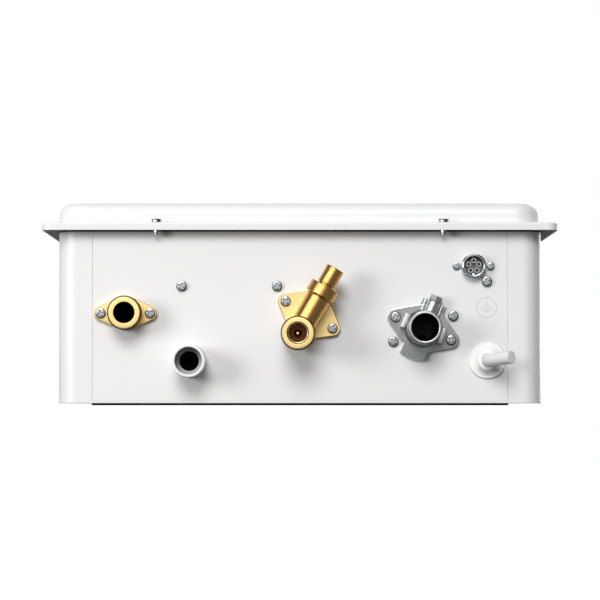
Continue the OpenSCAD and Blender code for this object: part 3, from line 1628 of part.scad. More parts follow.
module exhaust_socket() {
  color(alloy) on_top(top_y) difference() {
    cylinder(d = exhaust_d, h = exhaust_reach);
    translate([0, 0, -1]) {
      cylinder(d = flue_d + socket_gap, h = shoulder_h + 1);
      cylinder(d = exhaust_bore - 2 * shoulder_w, h = exhaust_reach + 2);
    }
    translate([0, 0, shoulder_h + shoulder_w]) cylinder(d = exhaust_bore, h = exhaust_reach);
  }
}

// Outline of the fan's scroll and its outlet
module scroll(wall) {
  circle(fan_r - wall);
  translate([lobe_x, -lobe_y]) circle(fan_r + lobe_r - wall);
  translate([outlet_x1 - outlet_w + wall, 0]) square([outlet_w - 2 * wall, fan_drop + (wall > 0 ? 1 : 0)]);
}

module fan_housing() {
  color(steel) translate([fan_x, fan_y, fan_floor]) difference() {
    linear_extrude(fan_h) scroll(0);
    translate([0, 0, fan_t]) linear_extrude(fan_h - 2 * fan_t) scroll(fan_t);
    translate([0, 0, fan_h - 2 * fan_t]) cylinder(d = fan_inlet_d, h = 3 * fan_t);
    translate([0, 0, -1]) cylinder(d = 2 * shaft_d, h = fan_t + 2);
  }
}

module fan_impeller() {
  z0 = (fan_h - wheel_h) / 2;
  color(alloy) translate([fan_x, fan_y, fan_floor]) {
    translate([0, 0, z0]) cylinder(r = wheel_r, h = wheel_t);
    translate([0, 0, z0 + wheel_h - wheel_t]) linear_extrude(wheel_t) ring(2 * wheel_r, blade_len);
    for (k = [0:blade_n - 1]) {
      rotate(k * 360 / blade_n) translate([wheel_r - blade_len / 2 - wheel_t, 0, z0 + wheel_t - eps])
        rotate(blade_a)
        translate([-blade_len / 2, -blade_t / 2, 0])
          cube([blade_len, blade_t, wheel_h - 2 * wheel_t + 2 * eps]);
    }
    translate([0, 0, z0]) cylinder(d = 2 * shaft_d + 2, h = wheel_h / 2);
    translate([0, 0, 5 - motor_h]) cylinder(d = shaft_d, h = motor_h + z0);
  }
}

module fan_motor() {
  color(dark) translate([fan_x, fan_y, fan_floor]) difference() {
    rotate_extrude() translate([0, 0]) mirror([0, 1]) round_block(motor_d / 2, motor_h, motor_r);
    translate([0, 0, 4 - motor_h]) cylinder(d = shaft_d + shaft_gap, h = motor_h);
  }
}

module stack_channels() {
  color(steel) for (y = [burner_y0 + channel_h, shell_y1 - 2 * channel_h]) {
    translate([-channel_w / 2, y, back_in]) difference() {
      cube([channel_w, channel_h, stack_gap]);
      translate([-1, 2 * stack_t, -1])
        cube([channel_w + 2, channel_h - 4 * stack_t, stack_gap + 1 - 2 * stack_t]);
    }
  }
}

rear_case();
bottom_plate();
top_plate();
front_cover();
cover_gasket();
cover_screws();
cover_nuts();
wall_bracket();
lower_rail();
pan_screws();
hot_outlet();
cold_inlet();
inlet_filter();
drain_stem();
drain_knob();
gas_inlet();
gas_test_plug();
condensate_spigot();
condensate_hose();
socket_shell();
socket_insert();
socket_pins();
socket_screws();
earth_screw();
cord_bush();
cord_sleeve();
sleeve_plug();
control_box();
control_board();
control_lid();
flow_sensor();
flow_rotor();
cold_pipe();
hot_pipe();
gas_valve();
valve_coils();
shutoff_plunger();
shutoff_spring();
modulating_plunger();
modulating_spring();
gas_pipe();
gas_manifold();
burner_box();
burner_bars();
spark_electrodes();
ignition_box();
exchanger_shell();
exchanger_fins();
exchanger_tubes();
overheat_switch();
flue_hood();
flue_pipe();
flue_collar();
exhaust_socket();
fan_housing();
fan_impeller();
fan_motor();
stack_channels();
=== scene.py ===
import bmesh
import bpy
import json
import math
from mathutils import Matrix, Vector


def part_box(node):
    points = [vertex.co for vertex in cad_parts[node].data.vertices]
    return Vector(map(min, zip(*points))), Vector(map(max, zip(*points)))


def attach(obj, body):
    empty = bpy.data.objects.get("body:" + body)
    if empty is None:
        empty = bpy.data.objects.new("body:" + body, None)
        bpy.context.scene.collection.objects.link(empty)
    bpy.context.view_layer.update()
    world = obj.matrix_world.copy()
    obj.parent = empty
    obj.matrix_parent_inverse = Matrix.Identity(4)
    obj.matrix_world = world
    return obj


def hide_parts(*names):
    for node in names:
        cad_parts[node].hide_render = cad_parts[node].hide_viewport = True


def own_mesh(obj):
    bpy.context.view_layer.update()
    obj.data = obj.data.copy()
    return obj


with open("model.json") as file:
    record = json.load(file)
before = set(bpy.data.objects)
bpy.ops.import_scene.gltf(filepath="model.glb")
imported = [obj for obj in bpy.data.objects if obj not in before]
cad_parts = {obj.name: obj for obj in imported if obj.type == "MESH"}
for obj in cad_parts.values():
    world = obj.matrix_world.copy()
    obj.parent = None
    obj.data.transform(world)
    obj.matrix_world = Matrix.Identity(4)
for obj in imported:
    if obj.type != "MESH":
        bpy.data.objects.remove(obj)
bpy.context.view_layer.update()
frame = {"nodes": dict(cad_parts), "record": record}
mm = 0.001
tiny = 1e-5  # in metres
fullTurn = 2 * math.pi
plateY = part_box("bottom_plate")[0].y  # outer face of the connection plate
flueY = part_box("top_plate")[1].y
mountAt = {m["name"]: Vector(m["pos_m"]) for m in frame["record"]["mounts"]}
print("frame loaded:", len(frame["nodes"]), "nodes")


def newObject(name, data):
    thing = bpy.data.objects.new(name, data)
    bpy.context.scene.collection.objects.link(thing)
    return thing


def pick(size, *names):
    return [size[name] for name in names]


# places

def onPlate(x, z, turn=0.0):  # local Z points out of the connection plate, local Y up
    axes = Matrix(((1, 0, 0), (0, 0, -1), (0, 1, 0))).to_4x4()
    return Matrix.Translation((x, plateY, z)) @ axes @ Matrix.Rotation(math.radians(turn), 4, "Z")


def onFlue(x, z):  # local Z points out of the flue end, local Y down
    axes = Matrix(((1, 0, 0), (0, 0, 1), (0, -1, 0))).to_4x4()
    return Matrix.Translation((x, flueY, z)) @ axes


def atMount(name, turn=0.0):
    return onPlate(mountAt[name].x, mountAt[name].z, turn)


def placeOf(size):  # a piece that states its own place on the plate
    return onPlate(size["x"] * mm, size["z"] * mm, size.get("tilt", 0.0))


def shift(x, y, z):
    return Matrix.Translation((x * mm, y * mm, z * mm))


def turnZ(angle):
    return Matrix.Rotation(angle, 4, "Z")


alongY = Matrix.Rotation(math.radians(-90), 4, "X")  # turns local Z to local Y


# shapes, all sizes in millimetres

def faceOut(bm):
    bmesh.ops.recalc_face_normals(bm, faces=bm.faces)
    return bm


def onlyVerts(geom):
    return [v for v in geom if isinstance(v, bmesh.types.BMVert)]


def onlyFaces(geom):
    return [f for f in geom if isinstance(f, bmesh.types.BMFace)]


def middleOf(face):
    return face.calc_center_median() / mm


def lowest(edge, axis=2):  # in metres
    return min(v.co[axis] for v in edge.verts)


def secondFinish(bm):  # whole shell in the piece's second finish: painted shade on brass and on the socket pins, painted highlight on the gas casting
    for f in bm.faces:
        f.material_index = 1
    return bm


def lathe(profile, steps=72, closed=True):
    bm = bmesh.new()
    ring = [bm.verts.new((r * mm, 0, h * mm)) for r, h in profile]
    pairs = zip(ring, ring[1:] + ring[:1]) if closed else zip(ring, ring[1:])
    edges = [bm.edges.new(pair) for pair in pairs]
    bmesh.ops.spin(bm, geom=ring + edges, cent=(0, 0, 0), axis=(0, 0, 1), angle=fullTurn,
                   steps=steps, use_merge=True)
    bmesh.ops.remove_doubles(bm, verts=bm.verts, dist=tiny / 10)
    return faceOut(bm)


def bevelEdges(bm, edges, width, segments):
    made = bmesh.ops.bevel(bm, geom=edges, offset=width * mm, offset_type="OFFSET", segments=segments,
                           profile=0.5, affect="EDGES", clamp_overlap=True, material=-1)
    return made["faces"]


def soften(bm, width, segments=2, angle=35, keep=None):
    sharp = [e for e in bm.edges if len(e.link_faces) == 2
             and e.calc_face_angle() > math.radians(angle) and (keep is None or keep(e))]
    for f in bevelEdges(bm, sharp, width, segments):
        f.material_index = 1  # a piece's second finish, where it has one: painted dark edges on brass, painted edge highlights on the gas casting
    return bm


def plainBox(x, y, z):  # standing on local Z = 0
    bm = bmesh.new()
    bmesh.ops.create_cube(bm, size=1)
    bmesh.ops.scale(bm, vec=(x * mm, y * mm, z * mm), verts=bm.verts)
    bmesh.ops.translate(bm, vec=(0, 0, z * mm / 2), verts=bm.verts)
    return bm


def block(x, y, z, edge, segments=2):
    return soften(plainBox(x, y, z), edge, segments)


def roundedBox(x, y, z, corner, steps):  # box with round upright corners
    bm = plainBox(x, y, z)
    upright = [e for e in bm.edges if abs(e.verts[0].co.z - e.verts[1].co.z) > z * mm / 2]
    bevelEdges(bm, upright, corner, steps)
    return bm


def outline(x, y, corner, steps):  # points round a rectangle with round corners
    points = []
    for k, (u, v) in enumerate(((1, 1), (-1, 1), (-1, -1), (1, -1))):
        for i in range(steps + 1):
            a = math.radians(90) * (k + i / steps)
            points.append(((u * (x / 2 - corner) + corner * math.cos(a)) * mm,
                           (v * (y / 2 - corner) + corner * math.sin(a)) * mm))
    return points


def flatRing(outer, inner, thick, steps=14):  # frame between two (x, y, corner) outlines
    bm = bmesh.new()
    loops = [[bm.verts.new((*point, z * mm)) for point in outline(*size, steps)]
             for size, z in ((outer, 0), (outer, thick), (inner, thick), (inner, 0))]
    for first, second in zip(loops, loops[1:] + loops[:1]):
        for i in range(len(first)):
            bm.faces.new((first[i - 1], first[i], second[i], second[i - 1]))
    return faceOut(bm)


def flatFaces(bm, height):  # faces lying level at a height
    return [f for f in bm.faces if abs(f.normal.z) > 0.99
            and abs(f.calc_center_median().z - height * mm) < tiny]


def cutAlong(bm, co, no, clear=False):  # cuts faces along a plane, and can clear what lies beyond it
    bmesh.ops.bisect_plane(bm, geom=bm.verts[:] + bm.edges[:] + bm.faces[:], plane_co=Vector(co) * mm,
                           plane_no=no, clear_outer=clear)


def lugPlate(size, thick, hole, edge):  # hub with a lug on each side, and a hole in its middle
    bm = bmesh.new()
    half = size["lugGap"] / 2
    for x, r in ((0, size["hubR"]), (-half, size["lugR"]), (half, size["lugR"])):
        for z in (0, thick):
            bmesh.ops.create_circle(bm, cap_ends=False, segments=64, radius=r * mm, matrix=shift(x, 0, z))
    bmesh.ops.convex_hull(bm, input=bm.verts[:])
    bmesh.ops.delete(bm, geom=[e for e in bm.edges if not e.link_faces], context="EDGES")
    bmesh.ops.delete(bm, geom=[v for v in bm.verts if not v.link_faces], context="VERTS")
    bmesh.ops.dissolve_limit(bm, angle_limit=0.01, verts=bm.verts, edges=bm.edges)
    faceOut(bm)
    soften(bm, edge, 2, 60, lambda e: lowest(e) > thick * mm / 2)
    if hole:
        walls = []
        for z in (0, thick):
            lid = max(flatFaces(bm, z), key=lambda f: f.calc_area())
            rim = list(lid.edges)
            bmesh.ops.delete(bm, geom=[lid], context="FACES_ONLY")
            ring = bmesh.ops.create_circle(bm, cap_ends=False, segments=64, radius=hole * mm,
                                           matrix=shift(0, 0, z))
            inner = list({e for v in ring["verts"] for e in v.link_edges})
            bmesh.ops.triangle_fill(bm, use_beauty=True, edges=rim + inner, normal=(0, 0, 1))
            walls += inner
        bmesh.ops.bridge_loops(bm, edges=walls)
    return faceOut(bm)


def groove(r, z, depth, slope, flat):  # points of a groove in the side of a turned piece
    return [(r, z), (r - depth, z + slope), (r - depth, z + slope + flat), (r, z + 2 * slope + flat)]


def addShell(bm, shell, place=Matrix()):  # moves a finished shell into a piece
    bmesh.ops.transform(shell, matrix=place, verts=shell.verts)
    carrier = bpy.data.meshes.new("carrier")
    shell.to_mesh(carrier)
    shell.free()
    bm.from_mesh(carrier)
    bpy.data.meshes.remove(carrier)


def paintBoreShade(bm, radius, low, high=99, y=0):  # third finish on the wall of a bore: painted shade inside it
    for f in bm.faces:
        c = middleOf(f)
        if math.hypot(c.x, c.y - y) < radius + 0.1 and low < c.z < high:
            f.material_index = 2


def addPiece(name, bm, place, finish, stands=(), body="case", smooth=34, edge=None, more=()):
    bmesh.ops.transform(bm, matrix=place, verts=bm.verts)
    mesh = bpy.data.meshes.new(name)
    bm.to_mesh(mesh)
    bm.free()
    for material in (finish, edge or finish, *more):
        mesh.materials.append(material)
    mesh.shade_smooth()
    mesh.set_sharp_from_angle(angle=math.radians(smooth))
    piece = newObject(name, mesh)
    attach(piece, body)
    if stands:
        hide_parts(*stands)
    flat = piece.modifiers.new("flatFaces", "WEIGHTED_NORMAL")  # keeps flats flat beside their small bevels
    flat.keep_sharp = True
    flat.weight = 90
    return piece


# camera at the photograph's angle: at floor level in front of the connection plate
cameraView = {"frame": 600, "distance": 2.2, "plateMmPerPixel": 0.7815, "horizonRow": 404.3, "eyeZ": 0.7,
              "sensor": 36, "far": 60}


def setCamera(view):
    focal = view["distance"] / (view["plateMmPerPixel"] * mm)  # in pixels
    tilt = math.atan((view["horizonRow"] - view["frame"] / 2) / focal)
    data = bpy.data.cameras.new("photoCamera")
    data.sensor_width = view["sensor"]
    data.lens = focal / view["frame"] * view["sensor"]
    data.clip_end = view["far"]
    cam = newObject("photoCamera", data)
    cam.location = (0, plateY - view["distance"], view["eyeZ"] * mm)
    cam.rotation_euler = (math.radians(90) + tilt, 0, 0)
    bpy.context.scene.camera = cam


setCamera(cameraView)
bpy.context.scene.view_settings.view_transform = "Standard"
print("camera set")


# shared effects as node groups

def feed(tree, node, given):  # a value or a socket for each named input
    for label, value in given.items():
        if isinstance(value, bpy.types.NodeSocket):
            tree.links.new(value, node.inputs[label])
        else:
            node.inputs[label].default_value = value


def addNode(tree, kind, given=None, **settings):
    node = tree.nodes.new(kind)
    for key, value in settings.items():
        setattr(node, key, value)
    feed(tree, node, given or {})
    return node


def newGroup(name, inputs, outputs):
    group = bpy.data.node_groups.new(name, "ShaderNodeTree")
    for label, value in inputs.items():
        socket = group.interface.new_socket(label, in_out="INPUT", socket_type="NodeSocketFloat")
        socket.default_value = value
    for label in outputs:
        group.interface.new_socket(label, in_out="OUTPUT", socket_type="NodeSocketFloat")
    return group, group.nodes.new("NodeGroupInput").outputs, group.nodes.new("NodeGroupOutput")


def grainGroup():  # fine skin of paint, plastic and castings, with a slow drift of tone
    group, asked, out = newGroup("surfaceGrain", {"Grain": 900, "Drift": 9}, ["Height", "Tone"])
    where = addNode(group, "ShaderNodeTexCoord").outputs["Object"]
    for label, result, detail in (("Grain", "Height", 3), ("Drift", "Tone", 2)):
        noise = addNode(group, "ShaderNodeTexNoise",
                        {"Vector": where, "Scale": asked[label], "Detail": detail})
        feed(group, out, {result: noise.outputs["Fac"]})
    return group


def linesGroup():  # tool marks that run round a turned piece
    group, asked, out = newGroup("toolLines", {"Along": 1400, "Across": 30}, ["Height"])
    where = addNode(group, "ShaderNodeTexCoord").outputs["Object"]
    across, along = asked["Across"], asked["Along"]
    stretch = addNode(group, "ShaderNodeCombineXYZ", {"X": across, "Y": along, "Z": across})
    scaled = addNode(group, "ShaderNodeVectorMath", {0: where, 1: stretch.outputs["Vector"]},
                     operation="MULTIPLY")
    noise = addNode(group, "ShaderNodeTexNoise",
                    {"Vector": scaled.outputs["Vector"], "Scale": 1, "Detail": 2})
    feed(group, out, {"Height": noise.outputs["Fac"]})
    return group


def edgeGroup():  # above 0 on outer edges, 0 on flats and in corners: worn edges on most finishes, painted dark edges on brass, painted edge highlights on cast alloy
    group, asked, out = newGroup("edgeWearAndLight", {"Low": 0.54, "High": 0.95}, ["Mask"])
    shape = addNode(group, "ShaderNodeNewGeometry").outputs["Pointiness"]
    ramp = addNode(group, "ShaderNodeMapRange",
                   {"Value": shape, "From Min": asked["Low"], "From Max": asked["High"]})
    feed(group, out, {"Mask": ramp.outputs["Result"]})
    return group


surfaceGrain = grainGroup()
toolLines = linesGroup()
edgeWearAndLight = edgeGroup()


# finishes
noiseSpan = (0.3, 0.7)  # where most of a noise lies


def grey(value):
    return (value, value, value)


def mixTones(tree, mask, first, second):  # mask is a socket, the tones are colours or sockets
    first, second = ((*tone, 1) if isinstance(tone, tuple) else tone for tone in (first, second))
    mix = addNode(tree, "ShaderNodeMix", {"Factor": mask, "A": first, "B": second}, data_type="RGBA")
    return mix.outputs["Result"]


def makeFinish(name, look):  # lines give turned and drawn metal its tool marks
    finish = bpy.data.materials.new(name)
    finish.use_nodes = True
    finish.diffuse_color = (*look["tone"], 1)
    tree = finish.node_tree
    lines = look.get("lines")
    grain = addNode(tree, "ShaderNodeGroup", node_tree=surfaceGrain, given={
        "Grain": look.get("grain", 1500), "Drift": look.get("drift", 25 if lines else 9)}).outputs
    height, shine = grain["Height"], grain["Tone"]
    if lines:
        along, across = lines
        marks = addNode(tree, "ShaderNodeGroup", {"Along": along, "Across": across}, node_tree=toolLines)
        height = shine = marks.outputs["Height"]
    # the finish's edge tone goes on these outer edges: worn edges, painted shade on brass, painted
    # highlight on cast alloy
    wornAndLitEdges = addNode(tree, "ShaderNodeGroup", node_tree=edgeWearAndLight).outputs["Mask"]
    toned = mixTones(tree, grain["Tone"], look["tone"], look["toneToo"])
    start, end = noiseSpan
    low, high = look["rough"]
    rough = addNode(tree, "ShaderNodeMapRange",
                    {"Value": shine, "From Min": start, "From Max": end, "To Min": low, "To Max": high})
    strength, depth = look.get("bump", (0.05, 0.1))
    bump = addNode(tree, "ShaderNodeBump", {"Height": height, "Strength": strength, "Distance": depth * mm})
    feed(tree, tree.nodes["Principled BSDF"], {
        "Metallic": look.get("metal", 0.0), "Specular IOR Level": look.get("specular", 0.5),
        "Base Color": mixTones(tree, wornAndLitEdges, toned, look.get("edge", look["tone"])),
        "Roughness": rough.outputs["Result"], "Normal": bump.outputs["Normal"]})
    return finish


brassCut = {"lines": (2600, 60)}
steelCut = {"lines": (900, 300)}
moulded = {"rough": (0.36, 0.46), "grain": 1600, "bump": (0.05, 0.15)}
smoothSkin = {"rough": (0.4, 0.5), "bump": (0.03, 0.1)}
powderCoat = makeFinish("powderCoat", {
    "tone": grey(0.84), "toneToo": (0.82, 0.82, 0.822), "edge": grey(0.86), "rough": (0.34, 0.42),
    "grain": 1300, "drift": 5, "bump": (0.06, 0.2)})
# its edge tone is painted shade: a dark outline on the outer edges
turnedBrass = makeFinish("turnedBrass", {
    "tone": (0.98, 0.75, 0.34), "toneToo": (0.95, 0.68, 0.28), "edge": (0.40, 0.26, 0.10), "metal": 1.0,
    "rough": (0.27, 0.34), **brassCut})
# painted shade: a darker, warmer copy of the brass for the round tube and drain knob
brassShadeCopy = makeFinish("brassShadeCopy", {
    "tone": (0.86, 0.50, 0.17), "toneToo": (0.80, 0.43, 0.13), "metal": 1.0, "rough": (0.25, 0.32),
    **brassCut})
# painted shade: dark chamfers, bevels and thread ridges on the brass pieces
brassEdgeShade = makeFinish("brassEdgeShade", {
    "tone": (0.24, 0.15, 0.06), "toneToo": (0.18, 0.11, 0.04), "metal": 0.9, "rough": (0.22, 0.34),
    **brassCut})
boreShade = makeFinish("boreShade", {
    "tone": grey(0.001), "toneToo": (0.002, 0.0015, 0.001), "specular": 0.02, "rough": (0.6, 0.7),
    "bump": (0.1, 0.1)})
# its edge tone is painted highlight: a bright line on the outer edges
castAlloy = makeFinish("castAlloy", {
    "tone": (0.315, 0.33, 0.32), "toneToo": (0.28, 0.295, 0.285), "edge": grey(0.5), "metal": 0.85,
    "rough": (0.26, 0.36), "drift": 60, "bump": (0.12, 0.15)})
# painted highlight: bright bevels, ribs, walls, test port, thread and mouth on the gas casting
castEdgeHighlight = makeFinish("castEdgeHighlight", {
    "tone": (0.66, 0.67, 0.67), "toneToo": (0.58, 0.59, 0.59), "metal": 0.9, "rough": (0.2, 0.3),
    "bump": (0.08, 0.1)})
zincSteel = makeFinish("zincSteel", {
    "tone": (0.56, 0.57, 0.59), "toneToo": (0.47, 0.48, 0.50), "edge": (0.85, 0.86, 0.87), "metal": 1.0,
    "rough": (0.18, 0.26), **steelCut})
plugSteel = makeFinish("plugSteel", {
    "tone": grey(0.32), "toneToo": grey(0.28), "metal": 0.3, "rough": (0.42, 0.5), **steelCut})
chromePlate = makeFinish("chromePlate", {
    "tone": (0.74, 0.75, 0.76), "toneToo": (0.66, 0.67, 0.69), "edge": (0.88, 0.88, 0.89), "metal": 1.0,
    "rough": (0.10, 0.18), "lines": (1500, 200), "bump": (0.03, 0.1)})
whiteMoulded = makeFinish("whiteMoulded", {
    "tone": (0.91, 0.91, 0.905), "toneToo": (0.88, 0.88, 0.875), **moulded})
# painted light: a brighter copy of the white plastic, lifting the bush out of its shade
bushWhiteLit = makeFinish("bushWhiteLit", {
    "tone": (0.97, 0.97, 0.965), "toneToo": (0.95, 0.95, 0.945), **moulded})
sleeveWhite = makeFinish("sleeveWhite", {"tone": grey(0.80), "toneToo": grey(0.77), **moulded})
# dark plastic, also painted shade on the gas valve behind the gas bore
darkMouldedAndShade = makeFinish("darkMouldedAndShade", {
    "tone": (0.045, 0.044, 0.046), "toneToo": (0.06, 0.06, 0.062), "edge": grey(0.09),
    "rough": (0.40, 0.55), "grain": 1600, "bump": (0.1, 0.15)})
copperDrawn = makeFinish("copperDrawn", {
    "tone": (0.72, 0.38, 0.24), "toneToo": (0.62, 0.29, 0.17), "edge": (0.80, 0.50, 0.36), "metal": 1.0,
    "rough": (0.24, 0.38), "lines": (200, 900)})
# black rubber, also painted shade: the lip's underside at both ends and the bead under the lip
blackRubberAndShade = makeFinish("blackRubberAndShade", {
    "tone": grey(0.006), "toneToo": grey(0.010), "specular": 0.15, "rough": (0.6, 0.75), "grain": 1900,
    "bump": (0.15, 0.2)})
boardLacquer = makeFinish("boardLacquer", {
    "tone": (0.02, 0.11, 0.045), "toneToo": (0.03, 0.15, 0.06), "rough": (0.25, 0.35), "grain": 1200})
printGrey = makeFinish("printGrey", {"tone": grey(0.58), "toneToo": grey(0.54), **smoothSkin})
# painted light: lightened to make up for the plug end getting little light
plugGreyLit = makeFinish("plugGreyLit", {"tone": grey(0.95), "toneToo": grey(0.92), **smoothSkin})
# painted shade: the grey wall inside the condensate socket
socketWallShade = makeFinish("socketWallShade", {"tone": grey(0.40), "toneToo": grey(0.36), **smoothSkin})
# painted shade: dark grey under the case lip at its sides
lipUndersideShade = makeFinish("lipUndersideShade", {
    "tone": grey(0.34), "toneToo": grey(0.30), "rough": (0.5, 0.6), "bump": (0.05, 0.15)})
insertGrey = makeFinish("insertGrey", {
    "tone": grey(0.13), "toneToo": grey(0.10), "rough": (0.35, 0.5), "grain": 1600, "bump": (0.1, 0.15)})
# painted shade: the rail and bracket in the gap under the case, the screws' head rims and recess walls, and
# the socket pins
steelShade = makeFinish("steelShade", {
    "tone": (0.035, 0.035, 0.037), "toneToo": (0.05, 0.05, 0.052), "metal": 0.6, "rough": (0.45, 0.6),
    "lines": (300, 900)})
# the strainer's brown, also painted shade on the cold inlet's bore wall
strainerBrownAndShade = makeFinish("strainerBrownAndShade", {
    "tone": (0.15, 0.045, 0.012), "toneToo": (0.11, 0.031, 0.008), "edge": (0.16, 0.08, 0.04), "metal": 0.8,
    "rough": (0.16, 0.26)})

finishOfSlot = {"casing": powderCoat, "gasket_rubber": blackRubberAndShade, "zinc_steel": zincSteel,
                "brass": turnedBrass, "cast_alloy": castAlloy, "chrome": chromePlate,
                "white_plastic": whiteMoulded, "dark_plastic": darkMouldedAndShade, "copper": copperDrawn,
                "board_green": boardLacquer}
# painted shade: rail and bracket darkened for the gap under the case, gas valve darkened so the gas bore
# looks black
paintedShadeOfNode = {"wall_bracket": steelShade, "lower_rail": steelShade, "gas_valve": darkMouldedAndShade}
for row in frame["record"]["subparts"]:
    cadMesh = frame["nodes"][row["node"]].data
    cadMesh.materials.clear()
    cadMesh.materials.append(paintedShadeOfNode.get(row["node"], finishOfSlot[row["material_slot"]]))
print("finishes made:", len(bpy.data.materials))


# sheet-metal case behind its cover
rearCase = {"corner": 15, "cornerSteps": 14, "backEdge": 0.5, "sheet": 1, "endReturn": 27, "foldLap": 0.1,
            "lip": 10.6, "lipCorner": 6.6, "bead": 0.7, "beadDrop": 0.7, "beadLap": 0.05, "beadEdge": 0.15}


def makeRearCase(size):
    low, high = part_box("rear_case")
    sheet, grow = size["sheet"], 2 * size["lip"]
    wide = (high.x - low.x) / mm - grow
    tall = (high.y - low.y) / mm - grow
    deep = (high.z - low.z) / mm - sheet
    bm = roundedBox(wide, tall, deep, size["corner"], size["cornerSteps"])
    bmesh.ops.delete(bm, geom=flatFaces(bm, deep), context="FACES_ONLY")
    soften(bm, size["backEdge"], 4, 60, lambda e: max(v.co.z for v in e.verts) < tiny)
    window = wide / 2 - size["endReturn"]
    fold = (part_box("bottom_plate")[0].z - low.z) / mm + size["foldLap"]  # meets the end plates
    for co, no in (((window, 0, 0), (1, 0, 0)), ((-window, 0, 0), (1, 0, 0)), ((0, 0, fold), (0, 0, 1))):
        cutAlong(bm, co, no)
    cut = []
    for f in bm.faces:
        c = middleOf(f)
        if abs(c.x) < window and abs(c.y) > tall / 2 - 0.1 and c.z > fold:
            cut.append(f)
    bmesh.ops.delete(bm, geom=cut, context="FACES")
    faceOut(bm)
    bmesh.ops.solidify(bm, geom=bm.faces[:], thickness=sheet * mm)
    for f in bm.faces:
        f.material_index = 0
    ring = flatRing((wide + grow, tall + grow, size["lipCorner"]),
                    (wide - 2 * sheet, tall - 2 * sheet, size["corner"] - sheet), sheet)
    for f in ring.faces:  # painted shade under the lip: grey at the sides, black at both ends
        c = middleOf(f)
        ends = abs(c.y) > tall / 2 and abs(c.x) < wide / 4
        f.material_index = (1 if ends else 2) if f.normal.z < -0.9 else 0
    addShell(bm, ring, shift(0, 0, deep))
    addPiece("rear_case_shell", bm, Matrix.Translation((0, 0, low.z)), powderCoat, ["rear_case"],
             edge=blackRubberAndShade, more=[lipUndersideShade])
    return wide, tall, high.z - sheet * mm


def makeShadowBead(size, wide, tall, lipZ):  # black bead in the corner under the lip: a painted shadow line
    grow, lap, drop = 2 * size["bead"], size["beadLap"], size["beadDrop"]
    ring = flatRing((wide + grow, tall + grow, size["corner"] + size["bead"]),
                    (wide - 2 * lap, tall - 2 * lap, size["corner"] - lap), drop)
    soften(ring, size["beadEdge"], 2, 60)
    place = Matrix.Translation((0, 0, lipZ - drop * mm))
    addPiece("cover_shadow_bead", ring, place, blackRubberAndShade)


makeShadowBead(rearCase, *makeRearCase(rearCase))


# pressed front cover: raised front, flat rim and its turned-down edge
frontCover = {"rim": 12, "rimDepth": 6, "rimCorner": 8, "rimEdge": 1.5, "rimBand": 9, "domeCorner": 21,
              "domeEdge": 9, "sheet": 1, "steps": 16}


def makeFrontCover(size):
    low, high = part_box("front_cover")
    wide = (high.x - low.x) / mm
    tall = (high.y - low.y) / mm
    rimTop, inset = size["rimDepth"], 2 * size["rim"]
    rise = (high.z - low.z) / mm - rimTop
    dome = roundedBox(wide - inset, tall - inset, rise, size["domeCorner"], size["steps"])
    bmesh.ops.delete(dome, geom=flatFaces(dome, 0), context="FACES_ONLY")
    soften(dome, size["domeEdge"], 10, 60, lambda e: lowest(e) > (rise - 0.1) * mm)
    bm = roundedBox(wide, tall, rimTop, size["rimCorner"], size["steps"])
    bmesh.ops.delete(bm, geom=flatFaces(bm, 0) + flatFaces(bm, rimTop), context="FACES_ONLY")
    addShell(bm, dome, shift(0, 0, rimTop))

    def onRimTop(e):
        return all(abs(v.co.z - rimTop * mm) < tiny for v in e.verts)

    def onRimEdge(e):
        at = (e.verts[0].co + e.verts[1].co) / mm / 2
        band = size["rimBand"]
        return onRimTop(e) and (abs(at.x) > wide / 2 - band or abs(at.y) > tall / 2 - band)

    bmesh.ops.bridge_loops(bm, edges=[e for e in bm.edges if e.is_boundary and onRimTop(e)])
    faceOut(bm)
    soften(bm, size["rimEdge"], 5, 60, onRimEdge)
    faceOut(bm)
    bmesh.ops.solidify(bm, geom=bm.faces[:], thickness=size["sheet"] * mm)
    place = Matrix.Translation((0, 0, low.z))
    addPiece("front_cover_shell", bm, place, powderCoat, ["front_cover"])


makeFrontCover(frontCover)
print("case and cover made")


# forms that the pipe connections share
pipeThread = {"outer": 13.22, "core": 12.3, "pitch": 1.814, "relief": 12.5, "steps": 40, "crest": 0.09,
              "foot": 0.49, "runOut": 0.5, "sunk": 0.1, "mouth": 0.5, "edge": 0.12}


def threadRidge(thread, low, high):  # ridge that winds up a spigot, in the second finish: painted shade on brass, painted highlight on the casting
    bm = bmesh.new()
    radius, root, pitch, steps = pick(thread, "outer", "core", "pitch", "steps")
    foot, crest, fadeTurns = pick(thread, "foot", "crest", "runOut")
    turns = (high - low) / pitch - 1
    section = [(root, -foot), (radius, -crest), (radius, crest), (root, foot)]
    face = bm.faces.new([bm.verts.new((r * mm, 0, (low + pitch * (0.5 + h)) * mm)) for r, h in section])
    bmesh.ops.spin(bm, geom=[face] + face.edges[:] + face.verts[:], cent=(0, 0, 0), axis=(0, 0, 1),
                   dvec=(0, 0, pitch * mm / steps), angle=fullTurn * turns, steps=round(turns * steps))
    sunk = root - thread["sunk"]
    for v in bm.verts:  # both ends run out into the core
        share = math.atan2(v.co.y, v.co.x) / fullTurn % 1
        t = round((v.co.z / mm - low) / pitch - 0.5 - share) + share
        fade = max(0.02, min(1, t / fadeTurns, (turns - t) / fadeTurns))
        r = math.hypot(v.co.x, v.co.y) / mm
        k = (sunk + (r - sunk) * fade) / r
        v.co.x *= k
        v.co.y *= k
    return secondFinish(faceOut(bm))


